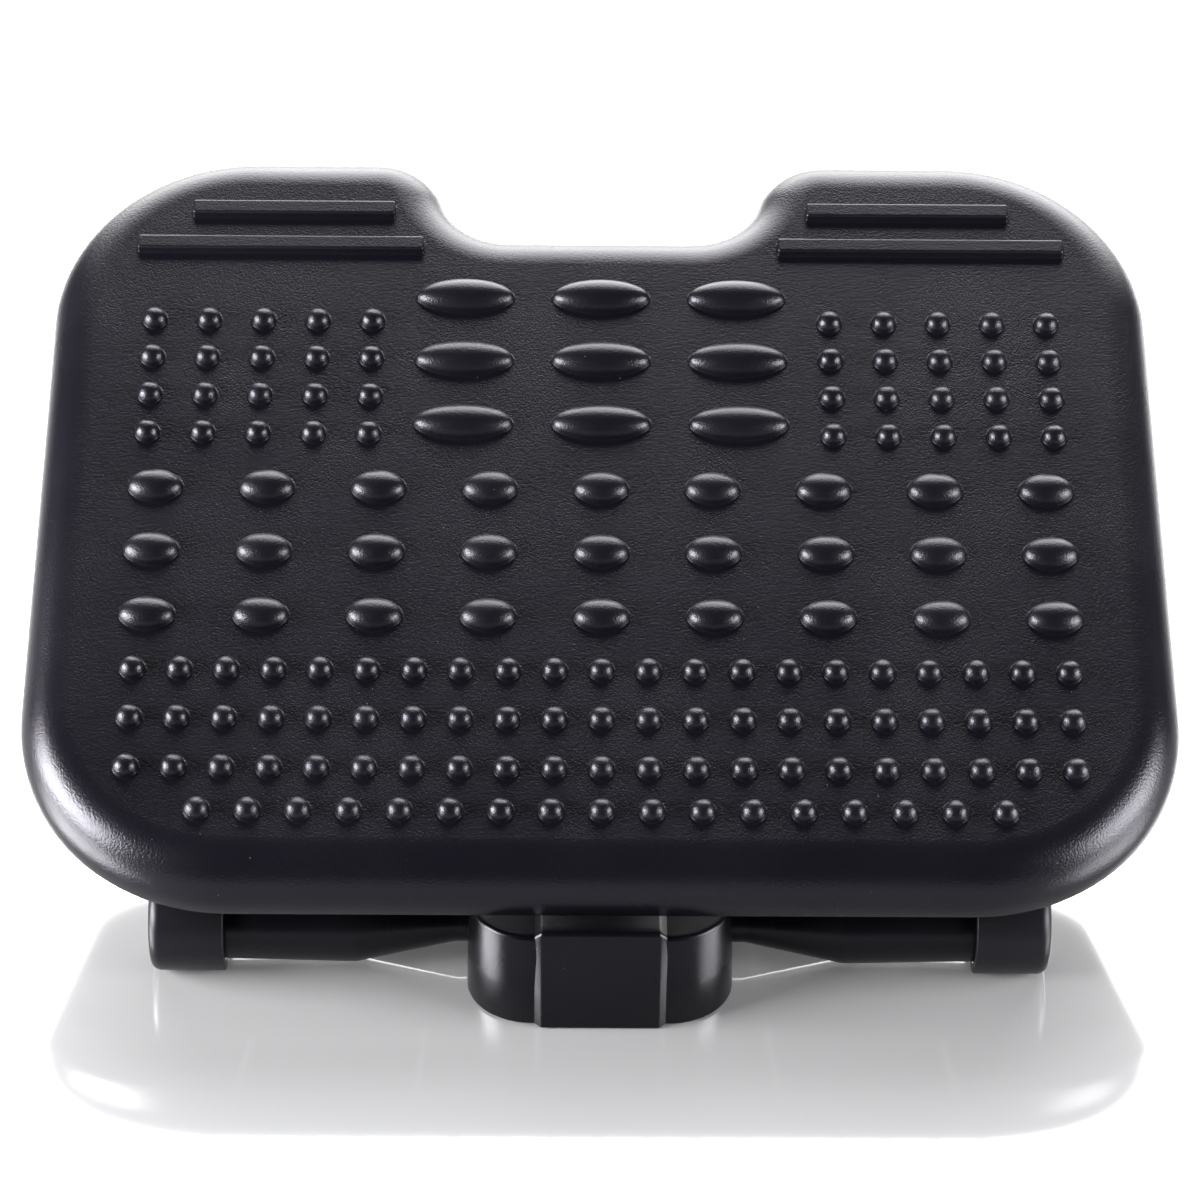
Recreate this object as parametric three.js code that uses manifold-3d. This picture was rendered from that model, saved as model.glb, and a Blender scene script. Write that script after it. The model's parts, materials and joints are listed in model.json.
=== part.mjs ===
// Tilting under desk footrest. A moulded platform with massage bumps tilts on a friction
// pivot, which a pedestal carries above a base with four arms and rubber end caps.
// Millimetres. X runs to the right, Y away from the user and Z up. The origin lies on the
// floor, straight below the pivot axis.

import * as THREE from "three";
import { mergeVertices } from "three/addons/utils/BufferGeometryUtils.js";
import Module from "manifold-3d";

const wasm = await Module();
wasm.setup();

// Platform: overall form
const platform_width = 450.8;
const platform_depth = 354.6;
const platform_wall = 3;
const lip_radius = 20;
const skirt_depth = 24;
const near_corner_radius = 83.6;
const far_corner_radius = 81.2;
const notch_depth = 41;
const notch_floor_width = 75.7;
const notch_mouth_width = 186.4;

// Platform: where it is carried, and how it stands
const pivot_height = 96.2;
const pivot_below_top = 38;
const pivot_from_near_edge = 163.4;
const rest_tilt_deg = 23.55;
const level_tilt_deg = 0;

// Platform: massage bumps, with rows counted from the near edge. A block fills its room up to
// a clearance from the flat's edge, the toe bars or the notch.
const bump_clearance = 20;
const notch_clearance = 16;
const near_row_clearance = 45;
const dome_width = 9.8;
const dome_height = 5.3;
const oval_width = 21.7;
const oval_depth = 14.4;
const oval_height = 6.2;
const long_oval_width = 39.8;
const long_oval_depth = 15.8;
const long_oval_height = 7.1;
const near_row_from_edge = 31.9;
const near_row_pitch = 19.17;
const lower_rows = 3;
const lower_rows_from_edge = 50.6;
const lower_pitch_x = 18.13;
const lower_pitch_y = 22.07;
const oval_rows = 3;
const oval_rows_from_edge = 119.8;
const oval_pitch_x = 44.3;
const oval_pitch_y = 30.25;
const long_columns = 3;
const long_rows_from_edge = 212;
const long_pitch_x = 55.5;
const long_pitch_y = 31.72;
const side_rows_from_edge = 206.8;
const side_inner_x = 93.3;
const side_pitch_x = 22.17;
const side_pitch_y = 18.8;

// Platform: raised toe bars beside the notch
const bar_width = 6.8;
const bar_height = 3.8;
const bar_edge_radius = 0.9;
const lower_bar_from_far_edge = 56.7;
const lower_bar_inner_x = 73.1;
const lower_bar_from_side = 34.3;
const upper_bar_from_far_edge = 38.2;
const upper_bar_inner_x = 85.3;
const upper_bar_from_side = 56.2;

// Platform: ribs and screw bosses underneath
const rib_depth = 12;
const rib_thickness = 2.4;
const rib_pitch_x = 72;
const rib_pitch_y = 58;
const bracket_boss_radius = 5.5;

// Base housing: a long tub with a pod at each end and a raised band along the middle
const housing_half_length = 166.4;
const housing_half_width = 51.3;
const housing_height = 39.5;
const housing_wall = 3;
const housing_rim_height = 0.6;
const housing_crease_height = 17.9;
const housing_edge_radius = 1.6;
const housing_corner_width = 24.9;
const housing_corner_depth = 25.5;
const pod_length = 76;
const spine_half_width = 40;
const spine_blend_radius = 20;
const lower_draft_deg = 1;
const upper_draft_deg = 4;
const end_draft_deg = 7.5;
const band_half_width = 22.5;
const band_root_half_width = 26.1;
const band_rise = 2.5;
const seat_half_width = 34;
const seat_half_length = 50;
const seat_corner_radius = 10;

// Arms and their rubber end caps
const arm_line_from_end = 40.2;
const arm_plug_depth = 29.3;
const arm_neck_reach = 4.9;
const arm_cone_length = 38;
const arm_barrel_length = 76.3;
const arm_neck_radius = 8.2;
const arm_kink_radius = 16.25;
const arm_end_radius = 14.7;
const arm_wall = 2.6;
const socket_radius = 12;
const cap_radius = 19.9;
const cap_cover = 25.7;
const cap_end_thickness = 3.3;
const cap_edge_radius = 4.4;
const cap_foot_flat = 0.5;

// Bottom plate and rubber pads
const plate_thickness = 2.5;
const plate_bottom_height = 2;
const post_radius = 4.6;
const post_from_side = 21.3;
const pod_post_from_end = 18.4;
const spine_post_y = 62;
const pad_half_length = 30;
const pad_half_width = 11;
const pad_corner_radius = 5;
const end_pad_from_end = 18.4;
const screw_way_gap = 2;

// Pedestal
const pedestal_half_width = 28;
const pedestal_cheek = 5;
const pedestal_wall = 3.6;
const pedestal_foot_half_width = 33;
const pedestal_foot_half_length = 46;
const pedestal_foot_radius = 8;
const pedestal_foot_thickness = 6;
const pedestal_tower_half_length = 35;
const pedestal_head_radius = 16;
const pedestal_screw_x = 17;
const pedestal_screw_y = 40.5;
const gusset_thickness = 3;
const gusset_reach = 4;
const gusset_height = 12;
const gusset_y = 16;

// Pivot: bolt, bushes, washers and the pin that limits the tilt
const bolt_radius = 5;
const bolt_head_radius = 9.2;
const bolt_head_thickness = 6.4;
const bolt_tail = 2;
const nut_thickness = 8;
const bush_radius = 7;
const bush_length = 14;
const bush_boss_radius = 10.5;
const friction_washer_radius = 13;
const friction_washer_thickness = 1.2;
const flat_washer_radius = 10;
const flat_washer_thickness = 1.6;
const spring_washer_radius = 8.8;
const spring_washer_thickness = 2.4;
const spring_washer_split = 1.6;
const limit_pin_radius = 2.5;
const limit_pin_orbit = 20;
const limit_pin_end = 1.5;

// Pivot bracket: a flange screwed under the platform, with an ear on each side of the pedestal
const flange_thickness = 3;
const flange_half_width = 47;
const flange_half_length = 44;
const flange_corner_radius = 7;
const ear_thickness = 4;
const ear_radius = 27;
const ear_root_half_length = 38;
const ear_web_thickness = 3;
const ear_web_reach = 6;
const bracket_screw_x = 40;
const bracket_screw_y = 34;

// Screws
const screw_radius = 2;
const pan_head_radius = 4.2;
const pan_head_height = 2.6;
const countersunk_head_radius = 3.9;
const countersunk_head_height = 1.8;
const arm_screw_radius = 2.4;
const arm_screw_inset = 14.3;
const arm_screw_pad_rim = 1;
const arm_screw_bite = 7;
const plate_screw_length = 14;
const bracket_screw_bite = 10;
const pedestal_screw_bite = 8;

// Clearances, overruns and the distance at which points count as one
const fit_gap = 0.3;
const running_gap = 0.15;
const overrun = 2;
const root_bite = 1;
const weld_distance = 1e-4;

// Numbers of facets
const corner_facets = 6;
const housing_corner_facets = 4;
const blend_facets = 4;
const spine_blend_facets = 2;
const lip_facets = 4;
const inner_lip_facets = 2;
const edge_facets = 3;
const bar_corner_facets = 1;
const dome_sides = 6;
const oval_sides = 9;
const long_oval_sides = 10;
const cap_sides = 16;
const arm_sides = 16;
const round_sides = 14;
const end_sides = 8;
const screw_sides = 8;
const hex_sides = 6;

const rest_tilt = THREE.MathUtils.degToRad(rest_tilt_deg);
const quarter_turn = Math.PI / 2;

// Materials
const finish = (colour, roughness, metalness) =>
  new THREE.MeshStandardMaterial({ color: colour, roughness, metalness });
const platform_plastic = finish(0x17171b, 0.5, 0);
const base_plastic = finish(0x18181c, 0.45, 0);
const arm_plastic = finish(0x1a1a1e, 0.4, 0);
const cap_rubber = finish(0x202024, 0.8, 0);
const zinc_steel = finish(0xb4b6b8, 0.35, 1);
const white_nylon = finish(0xd9d6cc, 0.6, 0);
const friction_fibre = finish(0x6b4a33, 0.9, 0);

// Turns a closed geometry into a solid that can be joined and cut.
function toSolid(geometry) {
  const bare = geometry.index ? geometry.toNonIndexed() : geometry.clone();
  bare.deleteAttribute("normal");
  bare.deleteAttribute("uv");
  const merged = mergeVertices(bare, weld_distance);
  return new wasm.Manifold(
    new wasm.Mesh({
      numProp: 3,
      vertProperties: merged.getAttribute("position").array,
      triVerts: new Uint32Array(merged.index.array),
    }),
  );
}

// Turns a solid back into a geometry.
function toGeometry(solid) {
  const data = solid.getMesh();
  const geometry = new THREE.BufferGeometry();
  geometry.setAttribute("position", new THREE.BufferAttribute(data.vertProperties, 3));
  geometry.setIndex(new THREE.BufferAttribute(data.triVerts, 1));
  geometry.computeVertexNormals();
  return geometry;
}

const place = (solid, x, y, z) => solid.translate([x, y, z]);
const joinAll = (solids) => solids.reduce((whole, next) => whole.add(next));
const cutAll = (whole, cuts) => cuts.reduce((left, cut) => left.subtract(cut), whole);

// Points of an arc in the plane, both ends included.
function arc(centre_x, centre_y, radius_x, radius_y, from, to, facets) {
  const points = [];
  for (let i = 0; i <= facets; i += 1) {
    const angle = from + ((to - from) * i) / facets;
    points.push(
      new THREE.Vector2(
        centre_x + radius_x * Math.cos(angle),
        centre_y + radius_y * Math.sin(angle),
      ),
    );
  }
  return points;
}

const circleArc = (x, y, radius, from, to, facets) => arc(x, y, radius, radius, from, to, facets);
const circle = (radius, sides) =>
  circleArc(0, 0, radius, 0, 2 * Math.PI * (1 - 1 / sides), sides - 1);

// Skins closed rings of equal counts, each {points, z}, from the first to the last, and
// closes both ends.
function loft(rings) {
  const count = rings[0].points.length;
  const positions = rings.flatMap(({ points, z }) => points.flatMap((p) => [p.x, p.y, z]));
  const index = [];
  for (let r = 0; r + 1 < rings.length; r += 1) {
    for (let i = 0; i < count; i += 1) {
      const next = (i + 1) % count;
      const low = r * count;
      const high = low + count;
      index.push(low + i, low + next, high + next);
      index.push(low + i, high + next, high + i);
    }
  }
  const first = THREE.ShapeUtils.triangulateShape(rings[0].points, []);
  const last = THREE.ShapeUtils.triangulateShape(rings.at(-1).points, []);
  const top = (rings.length - 1) * count;
  first.forEach(([a, b, c]) => index.push(a, c, b));
  last.forEach(([a, b, c]) => index.push(top + a, top + b, top + c));
  const geometry = new THREE.BufferGeometry();
  geometry.setAttribute("position", new THREE.Float32BufferAttribute(positions, 3));
  geometry.setIndex(index);
  return toSolid(geometry);
}

const prism = (points, low, high) => loft([{ points, z: low }, { points, z: high }]);

// A solid of revolution about Z from a closed profile of [radius, height] pairs.
function revolve(profile, sides) {
  const points = profile.map(([radius, height]) => new THREE.Vector2(radius, height));
  const geometry = new THREE.LatheGeometry([...points, points[0]], sides);
  geometry.rotateX(quarter_turn);
  return toSolid(geometry);
}

const rod = (radius, low, high, sides) =>
  revolve([[0, low], [radius, low], [radius, high], [0, high]], sides);
const ring = (outer, inner, low, high, sides) =>
  revolve([[inner, low], [outer, low], [outer, high], [inner, high]], sides);

// Turns a solid made along Z so that it runs along X, with its X along Y and its Y along Z.
const along_x = new THREE.Matrix4().makeBasis(
  new THREE.Vector3(0, 1, 0),
  new THREE.Vector3(0, 0, 1),
  new THREE.Vector3(1, 0, 0),
);
const alongX = (solid) => solid.transform(along_x.toArray());
const mirrorX = (solid) => solid.mirror([1, 0, 0]);

// A rectangle with round corners, centred, counterclockwise.
function roundedRectangle(half_x, half_y, radius, facets) {
  const x = half_x - radius;
  const y = half_y - radius;
  return [
    ...circleArc(x, -y, radius, -quarter_turn, 0, facets),
    ...circleArc(x, y, radius, 0, quarter_turn, facets),
    ...circleArc(-x, y, radius, quarter_turn, Math.PI, facets),
    ...circleArc(-x, -y, radius, Math.PI, Math.PI + quarter_turn, facets),
  ];
}

const box = (low, high) =>
  prism(
    [
      new THREE.Vector2(low[0], low[1]),
      new THREE.Vector2(high[0], low[1]),
      new THREE.Vector2(high[0], high[1]),
      new THREE.Vector2(low[0], high[1]),
    ],
    low[2],
    high[2],
  );

// Platform outline, drawn inset from its outer edge, with Y counted from the near edge.
// Its far side is two lobes with a notch between them, joined by two arcs a side.
const notch_run = (notch_mouth_width - notch_floor_width) / 2;
const notch_turn = 2 * Math.atan(notch_depth / notch_run);
const notch_radius = notch_run / (2 * Math.sin(notch_turn));

function platformOutline(inset) {
  const near_radius = near_corner_radius - inset;
  const near_x = platform_width / 2 - near_corner_radius;
  const far_x = platform_width / 2 - far_corner_radius;
  const far_y = platform_depth - far_corner_radius;
  const lobe_y = platform_depth - notch_radius;
  const notch_y = platform_depth - notch_depth + notch_radius;
  const right = [
    ...circleArc(near_x, near_corner_radius, near_radius, -quarter_turn, 0, corner_facets),
    ...circleArc(far_x, far_y, far_corner_radius - inset, 0, quarter_turn, corner_facets),
    ...circleArc(
      notch_mouth_width / 2,
      lobe_y,
      notch_radius - inset,
      quarter_turn,
      quarter_turn + notch_turn,
      blend_facets,
    ),
    ...circleArc(
      notch_floor_width / 2,
      notch_y,
      notch_radius + inset,
      notch_turn - quarter_turn,
      -quarter_turn,
      blend_facets,
    ).slice(1),
  ];
  const left = right.map((p) => new THREE.Vector2(-p.x, p.y)).reverse();
  return [...right, ...left];
}

// Rings of the rounded lip from the top plane down, for a surface lying the given depth
// below the outer one.
function lipRings(depth, facets) {
  const radius = lip_radius - depth;
  const rings = [];
  for (let i = 0; i <= facets; i += 1) {
    const angle = (quarter_turn * i) / facets;
    rings.push({
      points: platformOutline(lip_radius - radius * Math.sin(angle)),
      z: -depth - radius * (1 - Math.cos(angle)),
    });
  }
  return rings;
}

// A bump on an oval foot, steep at its foot and round on top. Each pair of shares is a
// ring's width and height in the crown.
const dome_crown_shares = [[0.8, 0.63]];
const oval_crown_shares = [
  [0.9, 0.46],
  [0.55, 0.85],
];

function bump(width, depth, height, crown_shares, facets) {
  const foot = -root_bite / height;
  const unit = revolve([[0, foot], [1, foot], ...crown_shares, [0, 1]], facets);
  return unit.scale([width / 2, depth / 2, height]);
}

// How many steps of a pitch fit in a run, and how many columns fit about the middle.
const stepsIn = (run, pitch) => Math.max(0, Math.floor(run / pitch));
const flat_half_width = platform_width / 2 - lip_radius;
const columnsAbout = (clearance, pitch) => 2 * stepsIn(flat_half_width - clearance, pitch) + 1;

// Places for a block of bumps: columns centred on the given X, rows from the first one on.
function bumpPlaces(columns, rows, pitch_x, pitch_y, centre_x, first_y) {
  const places = [];
  for (let row = 0; row < rows; row += 1) {
    for (let column = 0; column < columns; column += 1) {
      places.push([centre_x + (column - (columns - 1) / 2) * pitch_x, first_y + row * pitch_y]);
    }
  }
  return places;
}

function massageBumps() {
  const bar_y = platform_depth - lower_bar_from_far_edge;
  const notch_flat_y = platform_depth - notch_depth - lip_radius;
  const side_room_x = flat_half_width - bump_clearance - side_inner_x;
  const side_room_y = bar_y - bump_clearance - side_rows_from_edge;
  const long_room_y = notch_flat_y - notch_clearance - long_rows_from_edge;
  const side_steps = stepsIn(side_room_x, side_pitch_x);
  const side_rows = stepsIn(side_room_y, side_pitch_y) + 1;
  const side_centre = side_inner_x + (side_steps / 2) * side_pitch_x;
  const near_columns = columnsAbout(near_row_clearance, near_row_pitch);
  const lower_columns = columnsAbout(bump_clearance, lower_pitch_x);
  const oval_columns = columnsAbout(bump_clearance, oval_pitch_x);
  const long_rows = stepsIn(long_room_y, long_pitch_y) + 1;
  const dome = bump(dome_width, dome_width, dome_height, dome_crown_shares, dome_sides);
  const oval = bump(oval_width, oval_depth, oval_height, oval_crown_shares, oval_sides);
  const long_oval = bump(
    long_oval_width,
    long_oval_depth,
    long_oval_height,
    oval_crown_shares,
    long_oval_sides,
  );
  const side_block = (x) =>
    bumpPlaces(side_steps + 1, side_rows, side_pitch_x, side_pitch_y, x, side_rows_from_edge);
  const blocks = [
    [dome, bumpPlaces(near_columns, 1, near_row_pitch, 0, 0, near_row_from_edge)],
    [
      dome,
      bumpPlaces(lower_columns, lower_rows, lower_pitch_x, lower_pitch_y, 0, lower_rows_from_edge),
    ],
    [dome, side_block(side_centre)],
    [dome, side_block(-side_centre)],
    [oval, bumpPlaces(oval_columns, oval_rows, oval_pitch_x, oval_pitch_y, 0, oval_rows_from_edge)],
    [
      long_oval,
      bumpPlaces(long_columns, long_rows, long_pitch_x, long_pitch_y, 0, long_rows_from_edge),
    ],
  ];
  return blocks.flatMap(([shape, places]) => places.map(([x, y]) => place(shape, x, y, 0)));
}

// A raised bar with square ends and softened top edges, from its inner end out to a
// distance from the platform's side.
function toeBar(inner_x, from_side, from_far_edge) {
  const length = platform_width / 2 - from_side - inner_x;
  const outline = (inset) =>
    roundedRectangle(
      length / 2 - inset,
      bar_width / 2 - inset,
      bar_edge_radius - inset / 2,
      bar_corner_facets,
    );
  const bar = loft([
    { points: outline(0), z: -root_bite },
    { points: outline(0), z: bar_height - bar_edge_radius },
    { points: outline(bar_edge_radius), z: bar_height },
  ]);
  return place(bar, inner_x + length / 2, platform_depth - from_far_edge + bar_width / 2, 0);
}

// Crossing ribs that fill the underside, trimmed to the platform's own outer form.
function undersideRibs(outer_form) {
  const low = -platform_wall - rib_depth;
  const high = -platform_wall + root_bite;
  const half = rib_thickness / 2;
  const columns = Math.floor((platform_width / 2 - lip_radius) / rib_pitch_x);
  const rows = Math.floor((platform_depth / 2 - lip_radius) / rib_pitch_y);
  const ribs = [];
  for (let i = -columns; i <= columns; i += 1) {
    const x = i * rib_pitch_x;
    ribs.push(box([x - half, 0, low], [x + half, platform_depth, high]));
  }
  for (let i = -rows; i <= rows; i += 1) {
    const y = pivot_from_near_edge + i * rib_pitch_y;
    ribs.push(box([-platform_width / 2, y - half, low], [platform_width / 2, y + half, high]));
  }
  return joinAll(ribs).intersect(outer_form);
}

// The four corners of a screw pattern that is centred on the pivot.
const fourCorners = (x, y) => [[-x, -y], [x, -y], [-x, y], [x, y]];
const boss_end = pivot_below_top - platform_wall - rib_depth;

function platformSolid() {
  const outer = lipRings(0, lip_facets);
  const inner = lipRings(platform_wall, inner_lip_facets);
  const skirt = { points: platformOutline(0), z: -skirt_depth };
  const inner_skirt = { points: platformOutline(platform_wall), z: -skirt_depth };
  const shell = loft([...inner, inner_skirt, skirt, ...[...outer].reverse()]);
  const outer_form = loft([skirt, ...[...outer].reverse()]);
  const bars = [
    toeBar(lower_bar_inner_x, lower_bar_from_side, lower_bar_from_far_edge),
    toeBar(upper_bar_inner_x, upper_bar_from_side, upper_bar_from_far_edge),
  ];
  const moulded = joinAll([
    shell,
    undersideRibs(outer_form),
    ...massageBumps(),
    ...bars,
    ...bars.map(mirrorX),
  ]).translate([0, -pivot_from_near_edge, pivot_below_top]);
  const under = pivot_below_top - platform_wall + root_bite;
  const hole_end = boss_end + bracket_screw_bite + running_gap;
  const boss = rod(bracket_boss_radius, boss_end, under, screw_sides);
  const hole = rod(screw_radius + running_gap, boss_end - overrun, hole_end, screw_sides);
  const corners = fourCorners(bracket_screw_x, bracket_screw_y);
  const bosses = corners.map(([x, y]) => place(boss, x, y, 0));
  const holes = corners.map(([x, y]) => place(hole, x, y, 0));
  return cutAll(joinAll([moulded, ...bosses]), holes);
}

// Bracket: flange under the bosses, with two ears that reach down past the pivot.
const ear_inner_x = pedestal_half_width + friction_washer_thickness + 2 * running_gap;
const ear_outer_x = ear_inner_x + ear_thickness;
const flange_top = boss_end - fit_gap;
const flange_bottom = flange_top - flange_thickness;

// The outline of a plate with straight flanks that run tangent onto a round end. The end is
// centred on the origin and the root lies below it.
function taperedPlate(root_half, root_drop, radius, facets) {
  const reach = Math.hypot(root_half, root_drop);
  const touch = Math.atan2(-root_drop, root_half) + Math.acos(radius / reach);
  return [
    new THREE.Vector2(-root_half, -root_drop),
    new THREE.Vector2(root_half, -root_drop),
    ...circleArc(0, 0, radius, touch, Math.PI - touch, facets),
  ];
}

// The arc slot that the limit pin runs in, from its place at level to its place at rest.
function limitSlot() {
  const half = limit_pin_radius + fit_gap;
  const at_level = -quarter_turn - THREE.MathUtils.degToRad(level_tilt_deg);
  const at_rest = -quarter_turn - rest_tilt;
  const outer = circleArc(0, 0, limit_pin_orbit + half, at_rest, at_level, corner_facets);
  const inner = circleArc(0, 0, limit_pin_orbit - half, at_level, at_rest, corner_facets);
  const ends = [at_rest, at_level].map((angle) =>
    place(
      rod(half, ear_inner_x - overrun, ear_outer_x + overrun, round_sides),
      limit_pin_orbit * Math.cos(angle),
      limit_pin_orbit * Math.sin(angle),
      0,
    ),
  );
  const way = prism([...outer, ...inner], ear_inner_x - overrun, ear_outer_x + overrun);
  return joinAll([way, ...ends]);
}

function bracketSolid() {
  const flange = prism(
    roundedRectangle(flange_half_width, flange_half_length, flange_corner_radius, edge_facets),
    flange_bottom,
    flange_top,
  );
  const profile = taperedPlate(ear_root_half_length, flange_bottom + root_bite, ear_radius, end_sides);
  const turned = profile.map((p) => new THREE.Vector2(-p.x, -p.y));
  const ear = alongX(prism(turned, ear_inner_x, ear_outer_x).subtract(limitSlot()));
  const web_half = ear_web_thickness / 2;
  const web = box(
    [ear_outer_x - root_bite, -web_half, flange_bottom - ear_web_reach],
    [ear_outer_x + ear_web_reach, web_half, flange_bottom + root_bite],
  );
  const bore = alongX(
    rod(bolt_radius + running_gap, -ear_outer_x - overrun, ear_outer_x + overrun, round_sides),
  );
  const hole = rod(
    screw_radius + fit_gap,
    flange_bottom - overrun,
    flange_top + overrun,
    screw_sides,
  );
  const corners = fourCorners(bracket_screw_x, bracket_screw_y);
  const holes = corners.map(([x, y]) => place(hole, x, y, 0));
  return cutAll(joinAll([flange, ear, mirrorX(ear), web, mirrorX(web)]), [bore, ...holes]);
}

// A pan-head screw driven along +Z, with its head under the given height.
const pan_crown_share = 0.72;

function panScrew(seat, tip, radius) {
  const head = seat - pan_head_height;
  const crown = pan_head_radius * pan_crown_share;
  return revolve(
    [[0, head], [crown, head], [pan_head_radius, seat], [radius, seat], [radius, tip], [0, tip]],
    screw_sides,
  );
}

// A countersunk screw driven along +Z, with its head flush at the given height.
function countersunkScrew(face, tip, grow) {
  const shank = screw_radius + grow;
  return revolve(
    [
      [0, face],
      [countersunk_head_radius + grow, face],
      [shank, face + countersunk_head_height + grow],
      [shank, tip + grow],
      [0, tip + grow],
    ],
    screw_sides,
  );
}

// Pivot hardware, laid along X from the bolt's head on the left to its nut on the right.
const washer_stack = ear_outer_x + running_gap;
const spring_washer_x = washer_stack + flat_washer_thickness + running_gap;
const nut_x = spring_washer_x + spring_washer_thickness + running_gap;

function boltSolid() {
  const head_face = -ear_outer_x - running_gap;
  const tip = nut_x + nut_thickness + bolt_tail;
  const hexagon = circle(bolt_head_radius, hex_sides);
  const head = prism(hexagon, head_face - bolt_head_thickness, head_face);
  const shank = rod(bolt_radius, head_face - root_bite, tip, round_sides);
  return alongX(head.add(shank));
}

function nutSolid() {
  const face = nut_x + nut_thickness;
  const hexagon = prism(circle(bolt_head_radius, hex_sides), nut_x, face);
  const bore = rod(bolt_radius + running_gap, nut_x - overrun, face + overrun, round_sides);
  return alongX(hexagon.subtract(bore));
}

const flatWasherSolid = () =>
  alongX(
    ring(
      flat_washer_radius,
      bolt_radius + running_gap,
      washer_stack,
      washer_stack + flat_washer_thickness,
      round_sides,
    ),
  );

function springWasherSolid() {
  const coil = ring(
    spring_washer_radius,
    bolt_radius + running_gap,
    spring_washer_x,
    spring_washer_x + spring_washer_thickness,
    round_sides,
  );
  const split = box(
    [0, -spring_washer_split / 2, spring_washer_x - overrun],
    [spring_washer_radius + overrun, spring_washer_split / 2, nut_x + overrun],
  );
  return alongX(coil.subtract(split));
}

const frictionWasherSolid = () =>
  alongX(
    ring(
      friction_washer_radius,
      bolt_radius + running_gap,
      pedestal_half_width + running_gap,
      ear_inner_x - running_gap,
      round_sides,
    ),
  );

const bushSolid = () =>
  alongX(
    ring(
      bush_radius,
      bolt_radius + running_gap,
      pedestal_half_width - bush_length,
      pedestal_half_width,
      round_sides,
    ),
  );

const limitPinSolid = () =>
  alongX(
    rod(limit_pin_radius, -ear_outer_x - limit_pin_end, ear_outer_x + limit_pin_end, round_sides),
  );

// Base housing outline, centred on the pivot, drawn inset from its foot by one amount at the
// sides and another at the ends.
const spine_step = housing_half_width - spine_half_width;
const spine_turn = Math.acos(1 - spine_step / (2 * spine_blend_radius));
const pod_end_y = housing_half_length - pod_length;
const spine_start_y = pod_end_y - 2 * spine_blend_radius * Math.sin(spine_turn);

function housingOutline(inset, end_inset) {
  const corner_x = housing_half_width - housing_corner_width;
  const corner_y = housing_half_length - housing_corner_depth;
  const quarter = [
    ...arc(
      corner_x,
      -corner_y,
      housing_corner_width - inset,
      housing_corner_depth - end_inset,
      -quarter_turn,
      0,
      housing_corner_facets,
    ),
    ...circleArc(
      housing_half_width - spine_blend_radius,
      -pod_end_y,
      spine_blend_radius - inset,
      0,
      spine_turn,
      spine_blend_facets,
    ),
    ...circleArc(
      spine_half_width + spine_blend_radius,
      -spine_start_y,
      spine_blend_radius + inset,
      Math.PI + spine_turn,
      Math.PI,
      spine_blend_facets,
    ).slice(1),
  ];
  const right = [...quarter, ...quarter.map((p) => new THREE.Vector2(p.x, -p.y)).reverse()];
  const left = right.map((p) => new THREE.Vector2(-p.x, p.y)).reverse();
  return [...right, ...left];
}

// How far the drafted walls have come in at a height, counted from the foot. The ends lean
// back further than the sides above the crease.
const lower_draft = Math.tan(THREE.MathUtils.degToRad(lower_draft_deg));
const side_draft = Math.tan(THREE.MathUtils.degToRad(upper_draft_deg));
const end_draft = Math.tan(THREE.MathUtils.degToRad(end_draft_deg));
const draftAt = (z, upper_draft) =>
  z < housing_crease_height
    ? z * lower_draft
    : housing_crease_height * lower_draft + (z - housing_crease_height) * upper_draft;
const outlineAt = (z, inset) =>
  housingOutline(inset + draftAt(z, side_draft), inset + draftAt(z, end_draft));

// The tub's form inset from its outer wall, from a low height up to its roof, whose edge
// is softened.
function housingForm(inset, low, high, edge) {
  const rings = [low, housing_crease_height, high - edge].map((z) => ({
    points: outlineAt(Math.max(z, 0), inset),
    z,
  }));
  const roof = { points: outlineAt(high, inset + edge), z: high };
  return loft(edge > 0 ? [...rings, roof] : rings);
}

// The raised band over the nose, the top and the tail, as rings from left to right.
function bandForm() {
  const section = (rise) => {
    const front = housing_half_length + rise;
    const top = housing_height + rise;
    const half = [
      [front, housing_rim_height],
      [front - draftAt(housing_crease_height, end_draft), housing_crease_height],
      [front - draftAt(top, end_draft) - rise / 2, top - housing_edge_radius],
      [front - draftAt(top, end_draft) - rise / 2 - housing_edge_radius, top],
    ];
    const rear = half.map(([y, z]) => new THREE.Vector2(y, z));
    const fore = half.map(([y, z]) => new THREE.Vector2(-y, z)).reverse();
    return [...rear, ...fore];
  };
  return alongX(
    loft([
      { points: section(-root_bite), z: -band_root_half_width },
      { points: section(band_rise), z: -band_half_width },
      { points: section(band_rise), z: band_half_width },
      { points: section(-root_bite), z: band_root_half_width },
    ]),
  );
}

// Places along the arms and on the base, all from the housing's own outline.
const arm_line_y = housing_half_length - arm_line_from_end;
const arm_inner_x = housing_half_width - arm_plug_depth;
const arm_neck_end_x = housing_half_width + arm_neck_reach;
const arm_kink_x = arm_neck_end_x + arm_cone_length;
const arm_outer_x = arm_kink_x + arm_barrel_length;
const arm_screw_x = housing_half_width - arm_screw_inset;
const cap_mouth_x = arm_outer_x - cap_cover;
const cap_outer_x = arm_outer_x + cap_end_thickness;
const post_x = housing_half_width - post_from_side;
const pod_post_y = housing_half_length - pod_post_from_end;
const end_pad_y = housing_half_length - end_pad_from_end;

const arm_axis_height = cap_radius - cap_foot_flat;
const band_top = housing_height + band_rise;
const ceiling = housing_height - housing_wall;
const plate_top = plate_bottom_height + plate_thickness;
const post_end = plate_top + fit_gap;

// The four arms, and the sides and ends that they are named after.
const sides = [
  ["left", -1],
  ["right", 1],
];
const ends = [
  ["front", -1],
  ["rear", 1],
];
const fourArms = ends.flatMap(([end, y]) =>
  sides.map(([side, x]) => ({ name: end + "_" + side, x, y })),
);

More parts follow.
